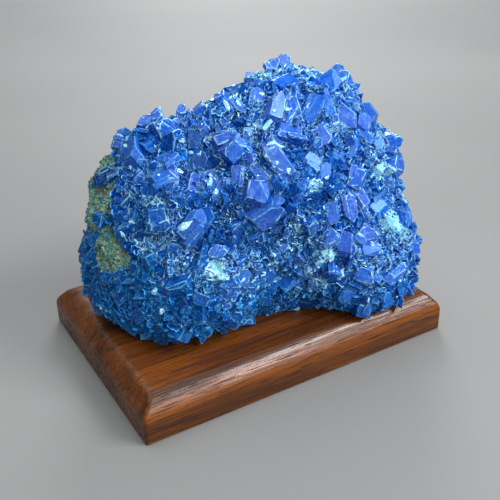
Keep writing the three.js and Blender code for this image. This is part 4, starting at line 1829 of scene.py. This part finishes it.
@dataclass(frozen=True)
class FrostFlakes:
    """Thin pale crusts that lie on some crystals.

    A flake is longitude, latitude, turn of its long edge from level, length and width.
    """

    flakes: Rows = (
        (210, 39, 70, 5, 2.4), (207, 17, 35, 7.5, 3), (283, 70, 75, 5.5, 1.5), (186, 50, 60, 3.2, 2.4),
        (178, 48, 80, 1.8, 1.3), (194, 48, 0, 2.2, 1.8), (247, 68, -15, 5, 2.4), (259, 57, -35, 8, 2.2),
        (198, 74, -60, 7, 2), (197, 57, 75, 4.5, 2.2), (302, -3, 0, 3.2, 2.6), (298, 2, -25, 4.5, 1.4),
        (204, -15, 60, 3.2, 2.2), (185, 8, -65, 6, 1.8), (189, 7, -50, 4, 1.2), (192, 4, 20, 4.5, 1.2),
        (176, 31, 80, 2, 1.6), (168, 36, -35, 4, 1.4), (287, -16, 80, 7, 2), (297, -26, -60, 4, 2),
        (281, -53, 40, 3, 2.2), (207, -34, 15, 3.4, 1.8), (278, 34, 10, 5, 3.5), (328, 22, 0, 6, 4.5),
        (284, -7, 70, 5, 3), (348, 56, 50, 5, 3), (317, 0, 60, 4, 2.6), (221, -2, -55, 6, 2.6),
        (214, 77, -60, 5, 1.6), (60, 40, 30, 5, 2.5), (95, 20, -40, 6, 2.4), (30, 10, 70, 5, 2),
        (120, 45, 10, 4, 2.2), (75, -10, 50, 5, 2), (140, -10, -20, 4, 2.4),
    )
    chips: int = 150
    chip_sizes: Row = (1.1, 3.0)
    chip_shares: Row = (0.5, 0.9)
    chip_fall: float = 1.7
    corners: int = 12
    rings: Rows = ((1, -0.35), (0.95, 0.05), (0.75, 0.16), (0.4, 0.2), (0.12, 0.22))
    raggedness: float = 0.45
    draw_step: int = 31
    outwardness: float = 0.3
    drape: Row = (-1.1, 0.5)
    drop: float = 4
    far: float = 150

    def build(self, form: MassForm, grounds: Sequence[bpy.types.Object],
              material: bpy.types.Material) -> bpy.types.Object:
        """Builds the flakes draped over the outermost of some pieces.

        Args:
            form: the mass, whose centre the longitudes and latitudes are seen from.
            grounds: the pieces that the flakes lie on.
            material: their finish.

        Returns:
            The piece.
        """
        points, faces = [], []
        for ground in grounds:
            start = len(points)
            points += [corner.co / MM for corner in ground.data.vertices]
            faces += [[start + corner for corner in face.vertices] for face in ground.data.polygons]
        tree = BVHTree.FromPolygons(points, faces)
        made, sides = [], []
        for number, row in enumerate([*self.flakes, *self.scattered()]):
            start = len(made)
            made += self.flake(form, tree, number, row)
            for ring in range(len(self.rings) - 1):
                for i in range(self.corners):
                    j = (i + 1) % self.corners
                    low, high = start + ring * self.corners, start + (ring + 1) * self.corners
                    sides.append((low + i, low + j, high + j, high + i))
            last = start + (len(self.rings) - 1) * self.corners
            sides.append(tuple(last + i for i in range(self.corners)))
            sides.append(tuple(start + i for i in range(self.corners))[::-1])
        mesh = mesh_of("frost_flakes", np.array(made), sides)
        mesh.materials.append(material)
        return link("frost_flakes", mesh)

    def scattered(self) -> Iterable[Row]:
        """Finds places for the small chips, which lie all over the mass.

        Yields:
            A row for each chip, like those of the flakes.
        """
        for i in range(self.chips):
            latitude = math.degrees(math.asin(1 - self.chip_fall * chance(i, Draw.CHIP_LATITUDE)))
            length = between(*self.chip_sizes, chance(i, Draw.CHIP_LENGTH) ** 2)
            width = length * between(*self.chip_shares, chance(i, Draw.CHIP_WIDTH))
            yield i * GOLDEN_ANGLE, latitude, 180 * chance(i, Draw.CHIP_TURN), length, width

    def flake(self, form: MassForm, tree: BVHTree, number: int, row: Row) -> list[np.ndarray]:
        """Drapes one flake.

        Args:
            form: the mass.
            tree: the surfaces that it lies on.
            number: its number.
            row: its row of the table.

        Returns:
            Its points, ring by ring from its foot.
        """
        longitude, latitude, turn, length, width = row
        way = direction(longitude, latitude)
        spot, normal, *_ = tree.ray_cast(Vector(np.array(form.centre) + way * self.far), Vector(-way))
        normal = np.array(normal) if np.dot(normal, way) > 0 else -np.array(normal)
        out = unit(normal + self.outwardness * way)
        level = unit(np.cross(UP, out))
        along = turned(level, out, turn)
        across = np.cross(out, along)
        made = []
        for scale, height in self.rings:
            for i in range(self.corners):
                angle = math.tau * i / self.corners
                draw = chance(i + self.draw_step * number, Draw.FLAKE_EDGE)
                ragged = 1 - self.raggedness * draw * scale
                flat = along * math.cos(angle) * length + across * math.sin(angle) * width
                flat = flat / 2 * scale * ragged
                above = np.array(spot) + flat + out * self.drop
                under = tree.ray_cast(Vector(above), Vector(-out))[0]
                rise = np.dot(np.array(under) - np.array(spot), out) if under else self.drape[0]
                made.append(np.array(spot) + flat + out * (np.clip(rise, *self.drape) + height))
        return made


@dataclass(frozen=True)
class HostRock:
    """The granular host rock on the left flank."""

    voxel: float = 0.55
    relief: Rows = ((0.25, 0.9), (0.7, 0.6), (1.6, 0.35))
    settling: float = 1.0
    tone: float = 0.4
    grain_kinds: int = 3
    grain_radius: float = 0.5
    grain_shapes: Row = (0.65, 1.25)
    draw_step: int = 20
    grain_spacing: float = 0.9
    grain_sizes: Row = (0.5, 1.3)
    grain_lean: float = 1.5
    grain_seed: int = 12

    def rock(self) -> bpy.types.Object:
        """Builds the rock from its solid, with a rough relief.

        Returns:
            The piece.
        """
        shape = bmesh.new()
        shape.from_mesh(frame["nodes"]["matrix_crust"].data)
        bmesh.ops.remove_doubles(shape, verts=shape.verts, dist=TINY)
        rock = link("host_rock", mesh_from(shape, "host_rock"))
        remesh = rock.modifiers.new("remesh", "REMESH")
        remesh.mode = "VOXEL"
        remesh.voxel_size = self.voxel * MM
        rock.data = evaluated(rock)
        points = points_of(rock.data)
        normals = np.empty(len(points) * 3, np.float32)
        rock.data.vertices.foreach_get("normal", normals)
        rise = np.full(len(points), -self.settling)
        for scale, height in self.relief:
            rise += height * waves(points, scale)
        move_points(rock.data, points + normals.reshape(-1, 3) * rise[:, None])
        store(rock.data, "tone", np.full(len(points), self.tone))
        return rock

    def lumps(self, name: str) -> bpy.types.Collection:
        """Builds the grains' shapes.

        Args:
            name: the collection's name.

        Returns:
            A collection of rough lumps of unit size.
        """
        held = bpy.data.collections.new(name)
        for number in range(self.grain_kinds):
            shape = bmesh.new()
            bmesh.ops.create_icosphere(shape, subdivisions=1, radius=self.grain_radius)
            for i, corner in enumerate(shape.verts):
                corner.co *= between(*self.grain_shapes, chance(i + self.draw_step * number, Draw.GRAIN))
            mesh = mesh_from(shape, f"{name}_{number}")
            held.objects.link(bpy.data.objects.new(mesh.name, mesh))
        return held

    def build(self, material: bpy.types.Material) -> list[bpy.types.Object]:
        """Builds the rock and its loose grains.

        Args:
            material: their finish.

        Returns:
            The two pieces.
        """
        rock = self.rock()
        rock.data.materials.clear()
        rock.data.materials.append(material)
        ground = rock.data.copy()
        store(ground, "room", np.ones(len(ground.vertices)))
        kinds = self.lumps("grain")
        grains = grow("host_rock_grains", ground, growth_tree(), {
            "Crystals": kinds, "Spacing": self.grain_spacing * MM, "Shortest": self.grain_sizes[0] * MM,
            "Longest": self.grain_sizes[1] * MM, "Lean": self.grain_lean,
            "Kinds": len(kinds.objects) - 1, "Seed": self.grain_seed, "Finish": material})
        return [rock, grains]


@dataclass(frozen=True)
class WalnutBase:
    """The walnut block with its bevelled top, eased edges and rounded corners."""

    corner: float = 1.4
    corner_steps: int = 8
    bevel_across: float = 5
    bevel_down: float = 5.6
    foot_ease: float = 0.5
    edge_ease: float = 2.4
    ease_steps: int = 7
    top_rim: float = 4

    def profile(self, height: float) -> list[Row]:
        """Draws the section of the block's side.

        Args:
            height: the block's height.

        Returns:
            Each corner's inset and height, from the underside to the top.
        """
        bends = [(self.foot_ease, 0), (0, self.foot_ease), (0, height - self.bevel_down),
                 (self.bevel_across, height), (self.bevel_across + self.top_rim, height)]
        section = [bends[0], bends[1]]
        for before, here, after in zip(bends[1:], bends[2:], bends[3:]):
            start = np.array(here) + unit(np.subtract(before, here).astype(float)) * self.edge_ease
            end = np.array(here) + unit(np.subtract(after, here).astype(float)) * self.edge_ease
            for step in range(self.ease_steps + 1):
                t = step / self.ease_steps
                section.append(tuple((1 - t) ** 2 * start + 2 * t * (1 - t) * np.array(here) + t * t * end))
        return section

    def build(self, material: bpy.types.Material) -> bpy.types.Object:
        """Builds the block inside its solid's box.

        Args:
            material: its finish.

        Returns:
            The piece.
        """
        low, high = (np.array(corner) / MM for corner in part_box("wooden_base"))
        half = (high - low)[:2] / 2
        section = self.profile(high[2] - low[2])
        points, faces = [], []
        turns = [math.radians(90 * k + 90 * step / self.corner_steps)
                 for k in range(4) for step in range(self.corner_steps + 1)]
        for inset, z in section:
            for turn in turns:
                out = np.array([math.cos(turn + TINY), math.sin(turn + TINY)])
                quarter = math.floor(turns.index(turn) / (self.corner_steps + 1)) * 90 + 45
                side = np.sign([math.cos(math.radians(quarter)), math.sin(math.radians(quarter))])
                points.append((*(side * (half - inset - self.corner) + out * self.corner), low[2] + z))
        count = len(turns)
        for row in range(len(section) - 1):
            for i in range(count):
                j = (i + 1) % count
                a, b = row * count, (row + 1) * count
                faces.append((a + i, a + j, b + j, b + i))
        faces.append(tuple(range(count))[::-1])
        faces.append(tuple((len(section) - 1) * count + i for i in range(count)))
        mesh = mesh_of("walnut_base", np.array(points), faces)
        mesh.materials.append(material)
        return link("walnut_base", mesh)


# ---------------------------------------------------------------- the studio


@dataclass(frozen=True)
class Lamp:
    """A soft panel: name, where it is, its width, height, power and colour, and the spot it faces."""

    name: str
    place: Row
    width: float
    height: float
    power: float
    color: Color = (0.96, 0.98, 1.0)
    aim: Row = (0.0, 0.0, 0.045)

    def build(self) -> None:
        """Places the panel."""
        data = bpy.data.lights.new(self.name, "AREA")
        data.shape = "RECTANGLE"
        data.size = self.width
        data.size_y = self.height
        data.energy = self.power
        data.color = self.color
        lamp = link(self.name, data)
        lamp.location = Vector(self.place)
        lamp.rotation_euler = (Vector(self.aim) - lamp.location).to_track_quat("-Z", "Y").to_euler()


@dataclass(frozen=True)
class Studio:
    """Camera, lights, floor and surroundings."""

    target: Row = (34.4, 53.7, 0)
    azimuth: float = 30.374
    elevation: float = 27.896
    roll: float = 1.312
    distance: float = 359.6
    lens: float = 53.79
    sensor: float = 36
    clip_near: float = 0.01
    clip_far: float = 50
    floor_size: float = 6.0
    floor_color: Color = (0.185, 0.185, 0.18)
    floor_noise: Row = (3.0, 2.0)
    floor_step: Row = (0.3, 0.7, 0.92, 1.05)
    floor_roughness: float = 0.7
    ambient: Color = (0.62, 0.66, 0.72)
    ambient_power: float = 0.24
    lamps: tuple[Lamp, ...] = (
        Lamp("key panel", (0.68, -0.71, 0.82), 0.65, 0.3, 18.0),
        Lamp("sky panel", (0.0, 0.4, 1.4), 1.9, 1.9, 24.5),
        Lamp("back panel", (1.2, 2.0, 1.0), 0.9, 0.9, 38.0, aim=(0.9, 1.3, 0.0)),
        Lamp("front fill", (-0.05, -1.2, 0.7), 1.2, 1.2, 13.0),
    )

    def camera(self) -> None:
        """Places the camera on its line through the target on the floor."""
        a, e = math.radians(self.azimuth), math.radians(self.elevation)
        ahead = Vector((math.sin(a) * math.cos(e), math.cos(a) * math.cos(e), -math.sin(e)))
        right = Vector((math.cos(a), -math.sin(a), 0))
        up = right.cross(ahead)
        turn = Matrix((right, up, -ahead)).transposed().to_4x4()
        data = bpy.data.cameras.new("camera")
        data.lens = self.lens
        data.sensor_width = self.sensor
        data.clip_start = self.clip_near
        data.clip_end = self.clip_far
        camera = link("camera", data)
        place = (Vector(self.target) - ahead * self.distance) * MM
        roll = Matrix.Rotation(math.radians(-self.roll), 4, "Z")
        camera.matrix_world = Matrix.Translation(place) @ turn @ roll
        bpy.context.scene.camera = camera

    def floor(self) -> None:
        """Lays the plain pale floor."""
        half = self.floor_size / 2 / MM
        corners = [(-half, -half, 0), (half, -half, 0), (half, half, 0), (-half, half, 0)]
        mesh = mesh_of("floor", np.array(corners), [(0, 1, 2, 3)])
        material, nodes, shader = new_material("pale floor")
        cloud = nodes.ramp(nodes.noise(nodes.place(), *self.floor_noise), *self.floor_step)
        tint = nodes.vector("MULTIPLY", self.floor_color, nodes.row(X=cloud, Y=cloud, Z=cloud))
        nodes.fill(shader, {"Base Color": tint, "Roughness": self.floor_roughness})
        mesh.materials.append(material)
        link("floor", mesh)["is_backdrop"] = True

    def build(self) -> None:
        """Builds the studio and sets how its light is shown."""
        self.camera()
        self.floor()
        for lamp in self.lamps:
            lamp.build()
        world = bpy.data.worlds.new("studio")
        world.use_nodes = True
        backdrop = world.node_tree.nodes["Background"]
        backdrop.inputs["Color"].default_value = (*self.ambient, 1)
        backdrop.inputs["Strength"].default_value = self.ambient_power
        bpy.context.scene.world = world
        bpy.context.scene.view_settings.view_transform = "Standard"


def settle(pieces: Iterable[bpy.types.Object], node: str) -> None:
    """Puts finished pieces on the object's one body, in place of a node.

    Args:
        pieces: the pieces.
        node: the node that they replace.
    """
    for piece in pieces:
        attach(piece, "root")
        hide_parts(node)
        count = sum(len(face.vertices) - 2 for face in piece.data.polygons)
        log.info("%s: %d triangles", piece.name, count)


def main() -> None:
    """Builds the studio and the specimen."""
    logging.basicConfig(level=logging.INFO, format="%(name)s: %(message)s")
    Studio().build()
    form, crust, large = MassForm(), CrustPlace(), LargeCrystals()
    seats = large.seats(form, crust)
    log.info("%d large crystals", len(seats))
    group = CrystalPattern().group()
    medium = CrystalFinish("medium crystal", deep=(0.001, 0.04, 0.34), middle=(0.005, 0.132, 0.64),
                           bright=(0.025, 0.18, 0.78), edge_width=0.065, crackle=0.4, specular=0.15)
    small = CrystalFinish("small crystal", deep=(0.001, 0.04, 0.29), middle=(0.004, 0.125, 0.54),
                          bright=(0.01, 0.21, 0.76), edge=(0.5, 0.94, 1.0), crackle=0.8, specular=0.06,
                          transmission=0.3)
    finishes = {
        "crystal_mass": MassFinish().material(), "druse_blades": WallFinish().material(),
        "medium_crystals": medium.material(group), "small_crystals": small.material(group),
    }
    crystals = large.build(seats, CrystalFinish("large crystal").material(group))
    grown = Cluster(form, crust, seats).build(finishes)
    flakes = FrostFlakes().build(form, [crystals, *grown], FrostFinish().material())
    settle([crystals, *grown, flakes], "crystal_cluster")
    settle(HostRock().build(RockFinish().material()), "matrix_crust")
    settle([WalnutBase().build(WalnutFinish().material())], "wooden_base")
    boxes = {"cad": cad_bounds, "visual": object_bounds()}
    {name: [list(corner) for corner in box] for name, box in boxes.items()}


if __name__ == "__main__":
    main()
